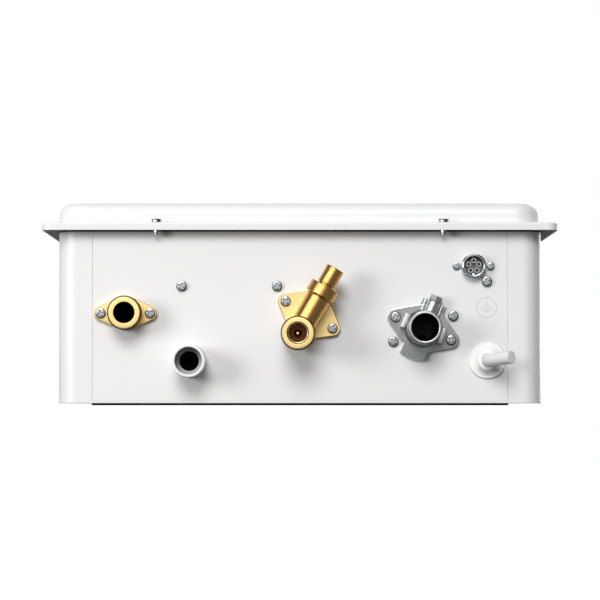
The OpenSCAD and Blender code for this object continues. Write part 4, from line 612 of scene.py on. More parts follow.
def addSpigot(bm, size, low, floor=-0.5, place=Matrix(), thread=pipeThread):  # bored spigot and its thread
    bore, start, end = pick(size, "bore", "threadFrom", "reach")
    core, relief, mouth = pick(thread, "core", "relief", "mouth")
    line = [(bore, floor), (bore, end - mouth), (bore + mouth, end), (core - 0.2, end), (core, end - 0.4),
            (core, start), (relief, start - 0.6), (relief, low), (bore, low)]
    shell = soften(lathe(line), thread["edge"], 1)
    for f in shell.faces:  # chamfer at the mouth, in the second finish: painted shade on brass, painted highlight on the casting
        c = middleOf(f)
        if math.hypot(c.x, c.y) < bore + mouth and c.z > end - 0.45:
            f.material_index = 1
    addShell(bm, shell, place)
    addShell(bm, threadRidge(thread, start, end), place)


def addTail(bm, size):  # pipe end behind the plate
    bore, r, foot = pick(size, "tailBore", "tailR", "tail")
    addShell(bm, lathe([(bore, foot), (bore, 0), (size["bore"], 0), (size["bore"], 1), (r, 1), (r, foot)]))


# hot outlet: flange with two lugs and a threaded spigot
hotOutlet = {"hubR": 13.3, "lugR": 5.4, "lugGap": 38.6, "flange": 4, "flangeEdge": 0.45, "spigotFoot": 0.2,
             "threadFrom": 7.7, "reach": 24, "bore": 7.85, "tailR": 10, "tailBore": 6.5, "tail": -22}


def makeHotOutlet(size):
    bm = lugPlate(size, size["flange"], size["bore"] + 1, size["flangeEdge"])
    addSpigot(bm, size, size["spigotFoot"])
    addTail(bm, size)
    paintBoreShade(bm, size["bore"], size["tail"])
    addPiece("hot_outlet_brass", bm, atMount("hot_outlet_thread"), turnedBrass, ["hot_outlet"],
             edge=brassEdgeShade, more=[boreShade])


makeHotOutlet(hotOutlet)


# cold inlet: lug flange, hub, cross branch and a threaded spigot
coldInlet = {"x": 7.1, "z": 70.5, "tilt": -30, "hubR": 18.9, "lugR": 6, "lugGap": 42.3, "flange": 4,
             "flangeEdge": 0.45, "neckR": 9.4, "branchZ": 23, "branchR": 9.8, "branchEnd": 15.4,
             "branchEdge": 0.25, "stemBore": 6.5, "stemDepth": 6, "spigotY": -17.5, "back": 12,
             "threadFrom": 33.8, "reach": 48, "bore": 8, "floor": 16.8, "tailR": 10, "tail": -22}


def makeColdInlet(size):
    bm = lugPlate(size, size["flange"], 0, size["flangeEdge"])
    r, foot, flange, top = size["neckR"], size["tail"], size["flange"], size["branchZ"] - 1
    neck = [(0, foot), (size["tailR"], foot), (size["tailR"], 0.1), (r + 0.6, 0.1), (r + 0.6, flange),
            (r, flange + 1), (r, top), (0, top)]
    addShell(bm, lathe(neck, closed=False))
    r, start, end = size["branchR"], size["spigotY"] + size["bore"] + 0.05, size["branchEnd"]
    seat, stop = size["stemBore"], end - size["stemDepth"]
    branch = [(0, start), (r, start), (r, end - 0.5), (r - 0.5, end), (seat, end), (seat, stop), (0, stop)]
    tube = soften(lathe(branch, closed=False), size["branchEdge"])
    for f in tube.faces:  # fourth finish, the darker brass copy: painted shade on the tube
        f.material_index = f.material_index or 3
    addShell(bm, tube, shift(0, 0, size["branchZ"]) @ alongY)
    spigot = shift(0, size["spigotY"], 0)
    addSpigot(bm, size, size["back"], size["floor"], spigot)
    r, low, floor = pipeThread["relief"], size["back"], size["floor"]
    back = [(0, low), (r - 1.2, low), (r - 0.15, low + 1), (r - 0.15, floor), (0, floor)]
    addShell(bm, lathe(back, closed=False), spigot)
    # the bore wall above the branch takes the strainer's brown: painted shade
    paintBoreShade(bm, size["bore"], size["branchZ"], y=size["spigotY"])
    addPiece("cold_inlet_brass", bm, placeOf(size), turnedBrass, ["cold_inlet"], edge=brassEdgeShade,
             more=[strainerBrownAndShade, brassShadeCopy])


makeColdInlet(coldInlet)


# strainer cup in the cold inlet's bore
inletStrainer = {"outer": 7.9, "low": 29, "high": 46.4, "wall": 0.6, "dome": 2.6, "domeR": (3, 2.2, 1.2),
                 "edge": 0.25, "spokes": 12, "spokeW": 0.5, "spokeH": 1.2, "spokeFrom": 2.6,
                 "spokeEdge": 0.15}


def makeInletStrainer(size):
    r, low, high, start = pick(size, "outer", "low", "high", "spokeFrom")
    wall, floor = r - size["wall"], low + size["wall"]
    top = floor + size["dome"]
    foot, side, crown = size["domeR"]
    cup = [(0, low), (r, low), (r, high), (wall, high), (wall, floor), (foot, floor),
           (side, floor + size["dome"] * 0.7), (crown, top), (0, top)]
    bm = soften(lathe(cup, closed=False), size["edge"])
    for k in range(size["spokes"]):
        spoke = block(size["spokeW"], wall - start, size["spokeH"], size["spokeEdge"])
        turn = turnZ(fullTurn * k / size["spokes"])
        addShell(bm, spoke, turn @ shift(0, (wall + start) / 2, floor - 0.1))
    for f in bm.faces:  # brass rim, and a brass rivet in the middle as a painted highlight
        c = middleOf(f)
        rivet = math.hypot(c.x, c.y) < 1 and c.z > top - 0.1
        f.material_index = int(c.z > high - 0.4 or rivet)
    addPiece("inlet_strainer", bm, placeOf(coldInlet) @ shift(0, coldInlet["spigotY"], 0), strainerBrownAndShade,
             ["inlet_filter"], edge=turnedBrass)


makeInletStrainer(inletStrainer)


# drain knob with its nozzle on the end of the branch
drainKnob = {"gap": 0.5, "collarR": 11.7, "collar": 9.2, "nozzleR": 7.3, "nozzle": 15.7, "groove": 0.7,
             "bore": 4.25, "boreDepth": 12, "noseR": 6.3, "nose": 3.4, "stemR": 3.07, "edge": 0.12}


def makeDrainKnob(size):
    branchEnd = coldInlet["branchEnd"]
    tip, low = branchEnd - size["nose"], branchEnd + size["gap"]
    mid = low + size["collar"]
    end = mid + size["nozzle"]
    floor = end - size["boreDepth"]
    stem, nose, r, q, bore = pick(size, "stemR", "noseR", "collarR", "nozzleR", "bore")
    neck = q - size["groove"]
    knob = [(stem, tip), (nose, tip), (nose, low), (r - 0.6, low), (r, low + 0.6), (r, mid - 0.6),
            (r - 0.6, mid), (neck, mid), (neck, mid + 1.4), (q, mid + 1.9), (q, end - 0.5), (q - 0.5, end),
            (bore + 0.4, end), (bore, end - 0.4), (bore, floor), (stem, floor)]
    place = placeOf(coldInlet) @ shift(0, 0, coldInlet["branchZ"]) @ alongY
    addPiece("drain_knob_brass", soften(lathe(knob), size["edge"], 1), place, brassShadeCopy,
             ["drain_knob"], body="drain_knob", edge=brassEdgeShade)


makeDrainKnob(drainKnob)
print("water fittings made")


# cast gas inlet: lug plate, fan-shaped tab, collar, ribs, test port and threaded spigot
gasInlet = {"tilt": -22.7, "hubR": 19.1, "lugR": 6.5, "lugGap": 46.8, "plate": 3.5, "plateEdge": 0.5,
            "tabW": 20.2, "tabR": 25.5, "padW": 20.4, "padLen": 22.6, "padGap": 3, "padEdge": 0.7,
            "rootR": 15, "rootH": 8, "ribU": 15.4, "ribW": 4.2, "ribLen": 12.4, "ribH": 9, "ribEdge": 1,
            "portR": 5.1, "portBore": 2.6, "portFrom": 11.5, "portZ": 6.1, "portEdge": 0.2, "wallW": 2.4,
            "wallU": 6.9, "wallH": 3.2, "wallFrom": 12.2, "wallEdge": 0.9, "sunk": 0.2, "spigotFoot": 0.4,
            "bore": 10.5, "threadFrom": 13.5, "reach": 38, "tailR": 11.5, "tailBore": 9, "tail": -12}


def gasPlace():
    return atMount("gas_inlet_thread", gasInlet["tilt"])


def gasTab(size):  # slice of a disc below the bore
    bm = bmesh.new()
    bmesh.ops.create_circle(bm, cap_ends=True, segments=160, radius=size["tabR"] * mm)
    half, inner = size["tabW"] / 2, -size["bore"] - 1.2
    for co, no in (((half, 0, 0), (1, 0, 0)), ((-half, 0, 0), (-1, 0, 0)), ((0, inner, 0), (0, 1, 0))):
        cutAlong(bm, co, no, clear=True)
    grown = bmesh.ops.extrude_face_region(bm, geom=bm.faces[:])
    bmesh.ops.translate(bm, vec=(0, 0, (size["plate"] + 0.05) * mm), verts=onlyVerts(grown["geom"]))
    faceOut(bm)
    past = (inner - 0.3) * mm
    return soften(bm, size["plateEdge"], 2, 60, lambda e: lowest(e) > mm and lowest(e, 1) < past)


def gasCollar(size):  # stepped foot of the spigot, with painted highlights on its ridges and painted shade in its grooves
    r, h, bore = size["rootR"], size["rootH"], size["bore"] + 0.5
    bm = lathe([(bore, 0.5), (r, 0.5), (r, h - 2.6), (r - 0.4, h - 2.2), (r - 0.45, h - 3.4),
                (r - 0.8, h - 3.4), (r - 0.85, h - 1.3), (r - 1.25, h - 0.9), (r - 1.3, h - 2),
                (r - 1.7, h - 2), (r - 1.75, h), (bore, h)])
    for f in bm.faces:
        z = middleOf(f).z
        if z > h / 2:
            f.material_index = 2 if f.normal.z > 0.9 and z < h - 0.5 else 1
    return bm


def makeGasInlet(size):
    bm = lugPlate(size, size["plate"], size["bore"] + 1, size["plateEdge"])
    addShell(bm, gasTab(size))
    end, start = size["padLen"], size["bore"] + size["padGap"]
    pad = block(size["padW"], end - start, size["plate"] - 0.1, size["padEdge"])
    addShell(bm, pad, shift(0, (end + start) / 2, 0))
    addShell(bm, gasCollar(size))
    addSpigot(bm, size, size["spigotFoot"])
    seat, start = size["plate"] - size["sunk"], size["wallFrom"]
    # ribs and walls, like the port below, are in the second finish: painted highlight
    for u in (-1, 1):
        rib = block(size["ribW"], size["ribLen"], size["ribH"], size["ribEdge"], 3)
        addShell(bm, secondFinish(rib), shift(u * size["ribU"], 0, seat))
        wall = block(size["wallW"], end - start, size["wallH"], size["wallEdge"], 3)
        addShell(bm, secondFinish(wall), shift(u * size["wallU"], (end + start) / 2, seat))
    r, bore, start = pick(size, "portR", "portBore", "portFrom")
    port = lathe([(bore, start), (r, start), (r, end - 0.6), (r - 0.6, end), (bore, end)], 48)
    addShell(bm, secondFinish(soften(port, size["portEdge"], 1)), shift(0, 0, size["portZ"]) @ alongY)
    addTail(bm, size)
    for f in bm.faces:  # painted highlight on the mouth
        if middleOf(f).z > size["reach"] - 0.8:
            f.material_index = 1
    paintBoreShade(bm, size["bore"], size["tail"])
    addPiece("gas_inlet_casting", bm, gasPlace(), castAlloy, ["gas_inlet"], edge=castEdgeHighlight,
             more=[boreShade])


makeGasInlet(gasInlet)


# hexagon plug in the test port
testPlug = {"flats": 9, "head": 4.6, "headEdge": 0.45, "shankR": 2.5, "shank": 5, "washerR": 4.9,
            "washer": 0.9, "washerEdge": 0.2}


def makeTestPlug(size):
    hexR = size["flats"] / 2 / math.cos(math.pi / 6) * mm
    top, mid, foot = size["head"], size["washer"], -size["shank"]
    bm = bmesh.new()
    bmesh.ops.create_cone(bm, cap_ends=True, segments=6, radius1=hexR, radius2=hexR, depth=(top - mid) * mm,
                          matrix=shift(0, 0, (top + mid) / 2))
    soften(bm, size["headEdge"], 3)
    r, q = size["washerR"], size["shankR"]
    shank = lathe([(0, foot), (q, foot), (q, 0.02), (r, 0.02), (r, mid), (0, mid)], 40, closed=False)
    addShell(bm, soften(shank, size["washerEdge"]))
    place = gasPlace() @ shift(0, gasInlet["padLen"], gasInlet["portZ"]) @ alongY
    addPiece("gas_test_plug_steel", bm, place, plugSteel, ["gas_test_plug"])


makeTestPlug(testPlug)
print("gas inlet made")


# springs over the gas valve's plungers, which press them together as they lift; here each is built at one
# fixed length
plungerSpring = {"wire": 1.2, "turns": 5, "steps": 28, "sides": 12}


def makePlungerSpring(name, node, size):
    low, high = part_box(node)
    wire = size["wire"] * mm / 2
    steps = size["turns"] * size["steps"]
    climb = high.z - low.z - 2 * wire
    foot = Matrix.Translation(((high.x - low.x) / 2 - wire, 0, wire)) @ alongY.inverted()
    bm = bmesh.new()
    bmesh.ops.create_circle(bm, cap_ends=True, segments=size["sides"], radius=wire, matrix=foot)
    bmesh.ops.spin(bm, geom=bm.faces[:] + bm.edges[:] + bm.verts[:], cent=(0, 0, 0), axis=(0, 0, 1),
                   dvec=(0, 0, climb / steps), angle=fullTurn * size["turns"], steps=steps)
    middle = (low + high) / 2
    place = Matrix.Translation((middle.x, middle.y, low.z))
    piece = addPiece(name, faceOut(bm), place, zincSteel, [node], smooth=60)
    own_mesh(piece)


makePlungerSpring("shutoff_spring_wire", "shutoff_spring", plungerSpring)
makePlungerSpring("modulating_spring_wire", "modulating_spring", plungerSpring)
print("plunger springs made")


# condensate drain: plastic spigot with a stepped socket, and a rubber flap in it
condensateSpigot = {"outer": 12.85, "reach": 30, "bore": 10.6, "lip": 0.4, "shoulder": 16, "throat": 7.7,
                    "floor": 6, "ringsFrom": 4, "ringPitch": 1.9, "rings": 9, "ring": (0.45, 0.5, 0.4),
                    "nutR": 17, "nut": (-4, -1), "tailR": 5.8, "tailBore": 4.5, "tail": -20, "edge": 0.12,
                    "flap": 1.2, "flapRim": 2, "flapGap": 0.1, "flapEdge": 0.2}


def makeCondensateSpigot(size):
    place = atMount("condensate_bore")
    r, top, bore, throat, floor = pick(size, "outer", "reach", "bore", "throat", "floor")
    foot, back, front = size["tail"], *size["nut"]
    inner, outer, nut, step = pick(size, "tailBore", "tailR", "nutR", "shoulder")
    line = [(inner, foot), (outer, foot), (outer, back), (nut, back), (nut, front), (r, front)]
    for k in range(size["rings"]):
        line += groove(r, size["ringsFrom"] + k * size["ringPitch"], *size["ring"])
    line += [(r, top - 0.6), (r - 0.5, top), (bore + size["lip"], top), (bore, top - size["lip"]),
             (bore, step), (throat, step - 0.4), (throat, floor), (inner, floor)]
    bm = soften(lathe(line), size["edge"], 1, 40)
    # the socket's inner wall in mid grey: painted shade
    paintBoreShade(bm, bore, floor, top - 1)
    addPiece("condensate_spigot_white", bm, place, whiteMoulded, ["condensate_spigot"],
             more=[socketWallShade])
    q, low = throat - size["flapGap"], floor + size["flapGap"]
    rim, flat = low + size["flapRim"], low + size["flap"]
    flap = lathe([(0, low), (q, low), (q, rim), (q - 1, rim), (q - 1.4, flat), (0, flat)], 64, closed=False)
    addPiece("condensate_flap_rubber", soften(flap, size["flapEdge"]), place, boreShade)


makeCondensateSpigot(condensateSpigot)


# round control socket: chrome shell, dark insert and contact pins
controlSocket = {"shellR": 9.5, "innerR": 7.3, "flangeR": 10.7, "reach": 8, "flange": -3,
                 "flangeTop": -1.05, "grooves": (1.2, 2.8, 4.4), "groove": (0.5, 0.3, 0.3), "insertZ": 2,
                 "edge": 0.1, "keyW": 2.4, "keyT": 1.6, "softEdge": 0.3, "pins": 5, "pinRing": 4.2,
                 "pinR": 0.8, "pinTop": 6.5, "cupR": 1.9, "cupWall": 0.6, "cupZ": 4.6}


def makeControlSocket(size):
    place = atMount("control_socket")
    r, q, top, foot, level = pick(size, "shellR", "innerR", "reach", "flange", "insertZ")
    wide, seat = pick(size, "flangeR", "flangeTop")
    line = [(q, foot), (wide, foot), (wide, seat), (r, seat)]
    for z in size["grooves"]:
        line += groove(r, z, *size["groove"])
    line += [(r, top - 0.9), (r - 1.1, top - 0.3), (r - 1.15, top - 0.9), (r - 1.4, top - 0.9),
             (r - 1.45, top), (q + 0.3, top), (q, top - 0.4)]
    shell = soften(lathe(line, 96), size["edge"], 1)
    key = block(size["keyW"], size["keyT"], level + 4, size["softEdge"])
    addShell(shell, key, shift(0, -q + 0.5, foot + 2))
    addPiece("socket_shell_chrome", shell, place, chromePlate, ["socket_shell"])
    base = lathe([(0, foot), (q - 0.15, foot), (q - 0.15, level), (0, level)], closed=False)
    pins = bmesh.new()
    r, mouth, thin, tip = pick(size, "cupR", "cupZ", "pinR", "pinTop")
    q = r - size["cupWall"]
    for k in range(size["pins"]):
        spot = turnZ(math.radians(90) + fullTurn * k / size["pins"]) @ shift(size["pinRing"], 0, 0)
        addShell(pins, lathe([(q, level - 1), (r, level - 1), (r, mouth), (q, mouth)], 32), spot)
        # the pins take the dark second finish: painted shade in the middle of each cup
        pin = [(0, foot), (thin, foot), (thin, tip - 0.4), (thin / 2, tip), (0, tip)]
        addShell(pins, secondFinish(lathe(pin, 24, closed=False)), spot)
    soften(base, size["softEdge"])
    addPiece("socket_insert_dark", base, place, insertGrey, ["socket_insert"])
    addPiece("socket_pins_plated", pins, place, zincSteel, ["socket_pins"], edge=steelShade)


makeControlSocket(controlSocket)
print("drain and socket made")


# cross-recess screws
panHead = {"headR": 4, "head": 2.7, "round": 0.85, "shankR": 2, "recess": 5.2, "slot": 1.35, "depth": 1.9,
           "taper": 0.7, "shank": 10}
smallHead = {"headR": 3, "head": 2.1, "round": 0.65, "shankR": 1.5, "recess": 3.9, "slot": 1.05,
             "depth": 1.4, "taper": 0.7, "shank": 10}
screwTurn = {"first": 17, "next": 29}  # degrees, so that neighbouring recesses stand differently


def crossScrew(size, steep):
    r, top, e = pick(size, "headR", "head", "round")
    q, foot = size["shankR"], -size["shank"]
    arc = [math.radians(a) for a in (0, 18, 36, 54, 72)]
    side = [(r - e + e * math.cos(a), top - e + e * 0.95 * math.sin(a)) for a in arc]
    crown = [(r - e - 0.1, top - 0.03), (r * 0.35, top), (0, top)]
    line = [(0, foot), (q - 0.5, foot), (q, foot + 0.6), (q, 0), (r - 0.25, 0), (r, 0.25)] + side + crown
    bm = lathe(line, 40, closed=False)
    slot, reach = size["slot"] / 2, size["recess"] / 2
    for cut in (slot, -slot, reach, -reach):
        for no in ((1, 0, 0), (0, 1, 0)):
            cutAlong(bm, Vector(no) * cut, no)
    inside = []
    for f in bm.faces:
        c = middleOf(f)
        arms = (abs(c.x) < slot and abs(c.y) < reach) or (abs(c.y) < slot and abs(c.x) < reach)
        if c.z > top - e and f.normal.z > 0.3 and arms:
            inside.append(f)
    sunk = onlyVerts(bmesh.ops.extrude_face_region(bm, geom=inside)["geom"])
    bmesh.ops.delete(bm, geom=inside, context="FACES")
    for v in sunk:
        v.co.z = (top - size["depth"]) * mm
    bmesh.ops.scale(bm, vec=(size["taper"], size["taper"], 1), verts=sunk)
    faceOut(bm)
    for f in bm.faces:  # painted shade round the head and on the recess walls
        c = middleOf(f)
        out = math.hypot(c.x, c.y)
        rim = out > r - 0.6 * e and c.z > 0.05 and steep < f.normal.z < 0.98
        wall = abs(f.normal.z) < 0.6 and out < reach and c.z > 0.1
        f.material_index = int(rim or wall)
    return bm


def addScrews(name, places, size, stands, steep=-0.1):
    bm = bmesh.new()
    for i, place in enumerate(places):
        turn = math.radians(screwTurn["first"] + screwTurn["next"] * i)
        addShell(bm, crossScrew(size, steep), place @ turnZ(turn))
    addPiece(name, bm, Matrix(), zincSteel, stands, smooth=40, edge=steelShade)


def lugSpots(place, gap, height=0):
    return [place @ shift(s * gap / 2, 0, height) for s in (-1, 1)]


screwSpots = {"box": {"x": -55.35, "z": 93.1}, "boxGap": 74.7, "valveGap": 51, "valveTurn": 23.2,
              "earth": {"x": 146.1, "z": 96.7}, "socketGap": 26.5, "baseHalf": 52, "baseT": 4,
              "coverX": 112, "coverY": 307.5, "coverZ": 142.5}
coverNut = {"r": 3, "bore": 2.15, "low": -8.2, "high": -6.02, "edge": 0.15}


def makeScrews(at, nut):
    corners = [(x, y) for x in (-1, 1) for y in (-1, 1)]
    flue = onFlue(mountAt["exhaust_bore"].x, mountAt["exhaust_bore"].z)
    spots = lugSpots(atMount("hot_outlet_thread"), hotOutlet["lugGap"], hotOutlet["flange"])
    spots += lugSpots(placeOf(coldInlet), coldInlet["lugGap"], coldInlet["flange"])
    spots += lugSpots(gasPlace(), gasInlet["lugGap"], gasInlet["plate"])
    spots += lugSpots(atMount("gas_inlet_thread", at["valveTurn"]), at["valveGap"])
    spots += lugSpots(placeOf(at["box"]), at["boxGap"])
    spots += [flue @ shift(x * at["baseHalf"], y * at["baseHalf"], at["baseT"]) for x, y in corners]
    addScrews("pan_screws_zinc", spots, panHead, ["pan_screws"])
    addScrews("earth_screw_zinc", [placeOf(at["earth"])], panHead, ["earth_screw"])
    addScrews("socket_screws_zinc", lugSpots(atMount("control_socket"), at["socketGap"]), smallHead,
              ["socket_screws"])
    spots = [shift(x * at["coverX"], y * at["coverY"], at["coverZ"]) for x, y in corners]
    addScrews("cover_screws_zinc", spots, panHead, ["cover_screws"], 0.05)
    r, bore, low, high = pick(nut, "r", "bore", "low", "high")
    bm = bmesh.new()
    for spot in spots:
        ring = lathe([(bore, low), (r - 0.3, low), (r, low + 0.4), (r, high), (bore, high)], 40)
        addShell(bm, soften(ring, nut["edge"], 1), spot)
    addPiece("cover_nuts_zinc", bm, Matrix(), zincSteel, ["cover_nuts"])


makeScrews(screwSpots, coverNut)
print("screws made")


# cord bush and its bent sleeve
cordBush = {"x": 146.3, "z": 35.1, "tilt": 6, "footR": 14.5, "edge": 2, "neckR": 6.8, "height": 11,
            "beadR": 7.8, "bead": 1.6, "bore": 5.1, "nutR": 11, "nut": -7, "seat": -1.02, "flareSteps": 12}
cordSleeve = {"r": 4.9, "root": -5, "bend": 12, "bendSteps": 16, "angle": 47, "straight": 18, "round": 0.35,
              "roundRise": 0.4, "rim": 0.25, "sunk": 3, "plugDrop": 0.05, "plugGap": 0.05, "plugLift": 0.1,
              "plugEdge": 0.2}


def makeCordBush(size):
    r, neck, bore, edge, top = pick(size, "footR", "neckR", "bore", "edge", "height")
    bead, beadR, nutR, foot, seat = pick(size, "bead", "beadR", "nutR", "nut", "seat")
    line = [(bore, foot), (nutR, foot), (nutR, seat), (neck, seat), (neck, 0.02), (r - 0.3, 0.02), (r, 0.4),
            (r, edge - 0.7), (r - 0.5, edge)]
    flare, rise = r - neck - 0.5, top - bead - edge
    for k in range(1, size["flareSteps"] + 1):
        a = math.radians(90) * k / size["flareSteps"]
        line.append((r - 0.5 - flare * math.sin(a), edge + rise * (1 - math.cos(a))))
    line += [(beadR - 0.3, top - bead + 0.1), (beadR, top - bead / 2), (beadR - 0.4, top - 0.2),
             (bore + 0.8, top), (bore, top - 0.4)]
    addPiece("cord_bush_white", lathe(line, 96), placeOf(size), bushWhiteLit, ["cord_bush"],
             smooth=50)


def runOut(bm, faces, heading, length):  # lengthens a tube along its own end face
    out = bmesh.ops.extrude_face_region(bm, geom=faces)["geom"]
    tip = onlyFaces(out)
    way = tip[0].normal * (1 if tip[0].normal.dot(heading) > 0 else -1)
    bmesh.ops.translate(bm, vec=way * length * mm, verts=onlyVerts(out))
    return tip


def makeCordSleeve(size, bush):
    place, top, bend = placeOf(bush), bush["height"], size["bend"]
    angle = math.radians(size["angle"])
    start, heading = Vector((0, 0, 1)), Vector((math.sin(angle), 0, math.cos(angle)))
    bm = bmesh.new()
    bmesh.ops.create_circle(bm, cap_ends=True, segments=48, radius=size["r"] * mm,
                            matrix=shift(0, 0, size["root"]))
    head = runOut(bm, bm.faces[:], start, top - size["root"])
    ring = [e for f in head for e in f.edges] + [v for f in head for v in f.verts]
    turned = bmesh.ops.spin(bm, geom=head + ring, cent=Vector((bend, 0, top)) * mm, axis=(0, 1, 0),
                            angle=angle, steps=size["bendSteps"])
    head = onlyFaces(turned["geom_last"])
    head[0].normal_update()
    head = runOut(bm, head, heading, size["straight"] - size["roundRise"])
    bmesh.ops.inset_region(bm, faces=head, thickness=size["round"] * mm, depth=0, use_even_offset=True)
    head = runOut(bm, head, heading, size["roundRise"])
    bmesh.ops.inset_region(bm, faces=head, thickness=size["rim"] * mm, use_even_offset=True)
    bmesh.ops.delete(bm, geom=head, context="FACES_ONLY")
    sunk = bmesh.ops.extrude_edge_only(bm, edges=[e for e in bm.edges if e.is_boundary])["geom"]
    bmesh.ops.translate(bm, vec=-heading * size["sunk"] * mm, verts=onlyVerts(sunk))
    bmesh.ops.holes_fill(bm, edges=[e for e in bm.edges if e.is_boundary])
    caps = [f for f in bm.faces if all(len(e.link_faces) > 2 for e in f.edges)]
    bmesh.ops.delete(bm, geom=caps, context="FACES_ONLY")  # left inside by the spin
    addPiece("cord_sleeve_white", faceOut(bm), place, sleeveWhite, ["cord_sleeve"],
             smooth=40)
    end = shift(bend, 0, top) @ Matrix.Rotation(angle, 4, "Y") @ shift(-bend, 0, size["straight"])
    r = size["r"] - size["round"] - size["rim"] - size["plugGap"]
    low, high = size["plugLift"] - size["sunk"], -size["plugDrop"]
    plug = lathe([(0, low), (r, low), (r, high), (0, high)], 48, closed=False)
    soften(plug, size["plugEdge"])
    addPiece("sleeve_plug_grey", plug, place @ end, plugGreyLit, ["sleeve_plug"])


makeCordBush(cordBush)
makeCordSleeve(cordSleeve, cordBush)


# printed earth sign beside the earth screw
earthSign = {"x": 145.9, "z": 76.4, "radius": 8.1, "line": 0.45, "thick": 0.06, "edge": 0.015,
             "stemTop": 5.6, "stemFoot": 0.4, "bars": ((10.0, 0.3), (8.2, -1.8), (5.2, -3.5))}


def makeEarthSign(size):
    r, w, t, edge, top, foot = pick(size, "radius", "line", "thick", "edge", "stemTop", "stemFoot")
    bm = lathe([(r - w, -0.02), (r, -0.02), (r, t), (r - w, t)], 96)
    addShell(bm, block(w, top - foot, t, edge, 1), shift(0, (top + foot) / 2, 0))
    for long, y in size["bars"]:
        addShell(bm, block(long, w, t, edge, 1), shift(0, y, 0))
    addPiece("earth_sign_print", bm, placeOf(size), printGrey)


makeEarthSign(earthSign)
print("bush, sleeve and sign made")


# floor, light and background
studio = {"floorSize": 16, "floorDrop": 0.0001, "floorTone": 0.86, "floorBounce": 0.13, "floorLift": 0.5,
          "floorInMetal": 0.05, "footHalf": (0.175, 0.3, 0.01), "footFade": 0.06,
          "topFront": {"way": (3, 24, -14), "power": 1.85, "soft": 26, "shine": 0.3},
          "backRight": {"way": (-9, -18, -4), "power": 2.1, "soft": 40, "shine": 0.3},
          "leftFront": {"at": (-1.6, -1.7, 0.4), "aim": (0.0, -0.3, 0.07), "power": 19.5, "size": 0.8,
                        "shine": 0.2}}
# what lights matt surfaces
skyLight = {"way": (0, -7, 3), "inner": 1.0, "outer": -0.1, "front": 0.28, "side": 0.08}
# what metal reflects: way to a box, inner and outer cosine, strength
skyGloss = {"dark": 0.02, "boxes": (
    ((-9, -24, 4), 0.985, 0.72, 1.3), ((-3, -12, 24), 0.97, 0.80, 0.8), ((0, 1, 0), 0.35, 0.0, 1.0))}


def vectorMath(tree, operation, first, second=(0, 0, 0), result="Vector"):
    return addNode(tree, "ShaderNodeVectorMath", {0: first, 1: second}, operation=operation).outputs[result]


def plainMath(tree, operation, first, second):
    return addNode(tree, "ShaderNodeMath", {0: first, 1: second}, operation=operation).outputs["Value"]


def smoothRamp(tree, value, low, high, top):  # 0 below low, top above high
    ramp = addNode(tree, "ShaderNodeMapRange", interpolation_type="SMOOTHSTEP", given={
        "Value": value, "From Min": low, "From Max": high, "To Max": top})
    return ramp.outputs["Result"]


def besidePart(tree, look):  # floor lift that fades out under the part, leaving a painted contact shadow round its foot
    where = addNode(tree, "ShaderNodeTexCoord").outputs["Object"]
    past = vectorMath(tree, "SUBTRACT", vectorMath(tree, "ABSOLUTE", where), look["footHalf"])
    far = vectorMath(tree, "LENGTH", vectorMath(tree, "MAXIMUM", past), result="Value")
    return smoothRamp(tree, far, 0, look["footFade"], look["floorLift"])


def floorPaint(look):
    paint = bpy.data.materials.new("studioFloor")
    paint.use_nodes = True
    tree = paint.node_tree
    tree.nodes.clear()
    path = addNode(tree, "ShaderNodeLightPath").outputs
    inMetal = plainMath(tree, "MULTIPLY", path["Is Glossy Ray"], look["floorInMetal"])  # a dimmer floor
    shown = plainMath(tree, "ADD", plainMath(tree, "ADD", path["Is Camera Ray"], inMetal),
                      path["Is Transmission Ray"])
    tone = mixTones(tree, shown, grey(look["floorBounce"]), grey(look["floorTone"]))
    matt = addNode(tree, "ShaderNodeBsdfDiffuse", {"Color": tone})
    lift = plainMath(tree, "MULTIPLY", shown, besidePart(tree, look))
    glow = addNode(tree, "ShaderNodeEmission", {"Strength": lift})
    both = addNode(tree, "ShaderNodeAddShader", {0: matt.outputs["BSDF"], 1: glow.outputs["Emission"]})
    addNode(tree, "ShaderNodeOutputMaterial", {"Surface": both.outputs["Shader"]})
    return paint


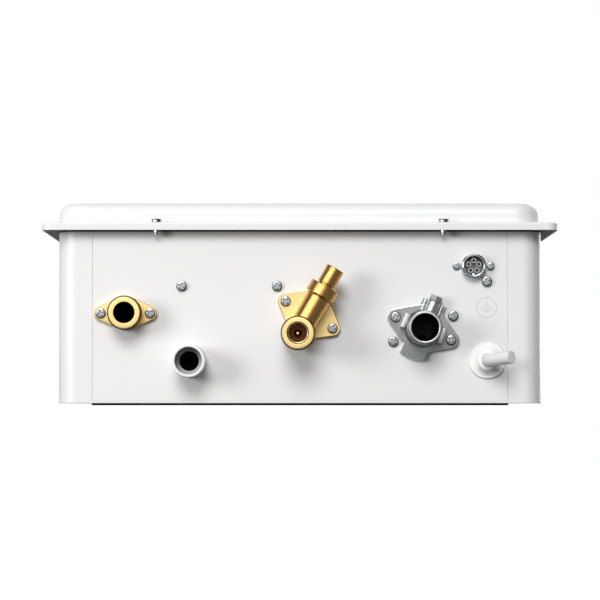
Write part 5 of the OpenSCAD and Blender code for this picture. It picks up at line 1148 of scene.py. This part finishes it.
def makeFloor(look):
    bm = bmesh.new()
    bmesh.ops.create_grid(bm, x_segments=8, y_segments=8, size=look["floorSize"] / 2,
                          matrix=Matrix.Translation((0, 0, -look["floorDrop"])))
    mesh = bpy.data.meshes.new("studioFloor")
    bm.to_mesh(mesh)
    bm.free()
    mesh.materials.append(floorPaint(look))
    floor = newObject("studioFloor", mesh)


def addLamp(name, kind, lamp, at, way):
    data = bpy.data.lights.new(name, kind)
    data.energy = lamp["power"]
    data.specular_factor = lamp["shine"]
    holder = newObject(name, data)
    holder.location = at
    holder.rotation_euler = Vector(way).to_track_quat("-Z", "Y").to_euler()
    return data


def makeLamps(look):
    for name in ("topFront", "backRight"):
        far = look[name]
        sun = addLamp(name, "SUN", far, -Vector(far["way"]) / 10, far["way"])
        sun.angle = math.radians(far["soft"])
    left = look["leftFront"]
    box = addLamp("leftFront", "AREA", left, left["at"], Vector(left["aim"]) - Vector(left["at"]))
    box.shape = "DISK"
    box.size = left["size"]


def facing(tree, ray, way, inner, outer, strength):  # bright patch of sky round one direction
    dot = vectorMath(tree, "DOT_PRODUCT", ray, Vector(way).normalized(), "Value")
    return smoothRamp(tree, dot, outer, inner, strength)


def makeWorld(matt, gloss):
    world = bpy.data.worlds.new("studioWorld")
    world.use_nodes = True
    tree = world.node_tree
    tree.nodes.clear()
    ray = addNode(tree, "ShaderNodeTexCoord").outputs["Generated"]
    path = addNode(tree, "ShaderNodeLightPath").outputs
    patch = facing(tree, ray, matt["way"], matt["inner"], matt["outer"], matt["front"])
    soft = plainMath(tree, "ADD", matt["side"], patch)
    shine = gloss["dark"]
    for box in gloss["boxes"]:
        shine = plainMath(tree, "ADD", shine, facing(tree, ray, *box))
    white = (1, 1, 1, 1)
    soft, shine, seen = (addNode(tree, "ShaderNodeBackground", {"Color": white, "Strength": strength})
                         for strength in (soft, shine, 1.0))
    last = soft.outputs["Background"]
    for label, sky in (("Is Glossy Ray", shine), ("Is Transmission Ray", shine), ("Is Camera Ray", seen)):
        mix = addNode(tree, "ShaderNodeMixShader",
                      {"Fac": path[label], 1: last, 2: sky.outputs["Background"]})
        last = mix.outputs["Shader"]
    addNode(tree, "ShaderNodeOutputWorld", {"Surface": last})
    bpy.context.scene.world = world


makeFloor(studio)
makeLamps(studio)
makeWorld(skyLight, skyGloss)
print("studio made")
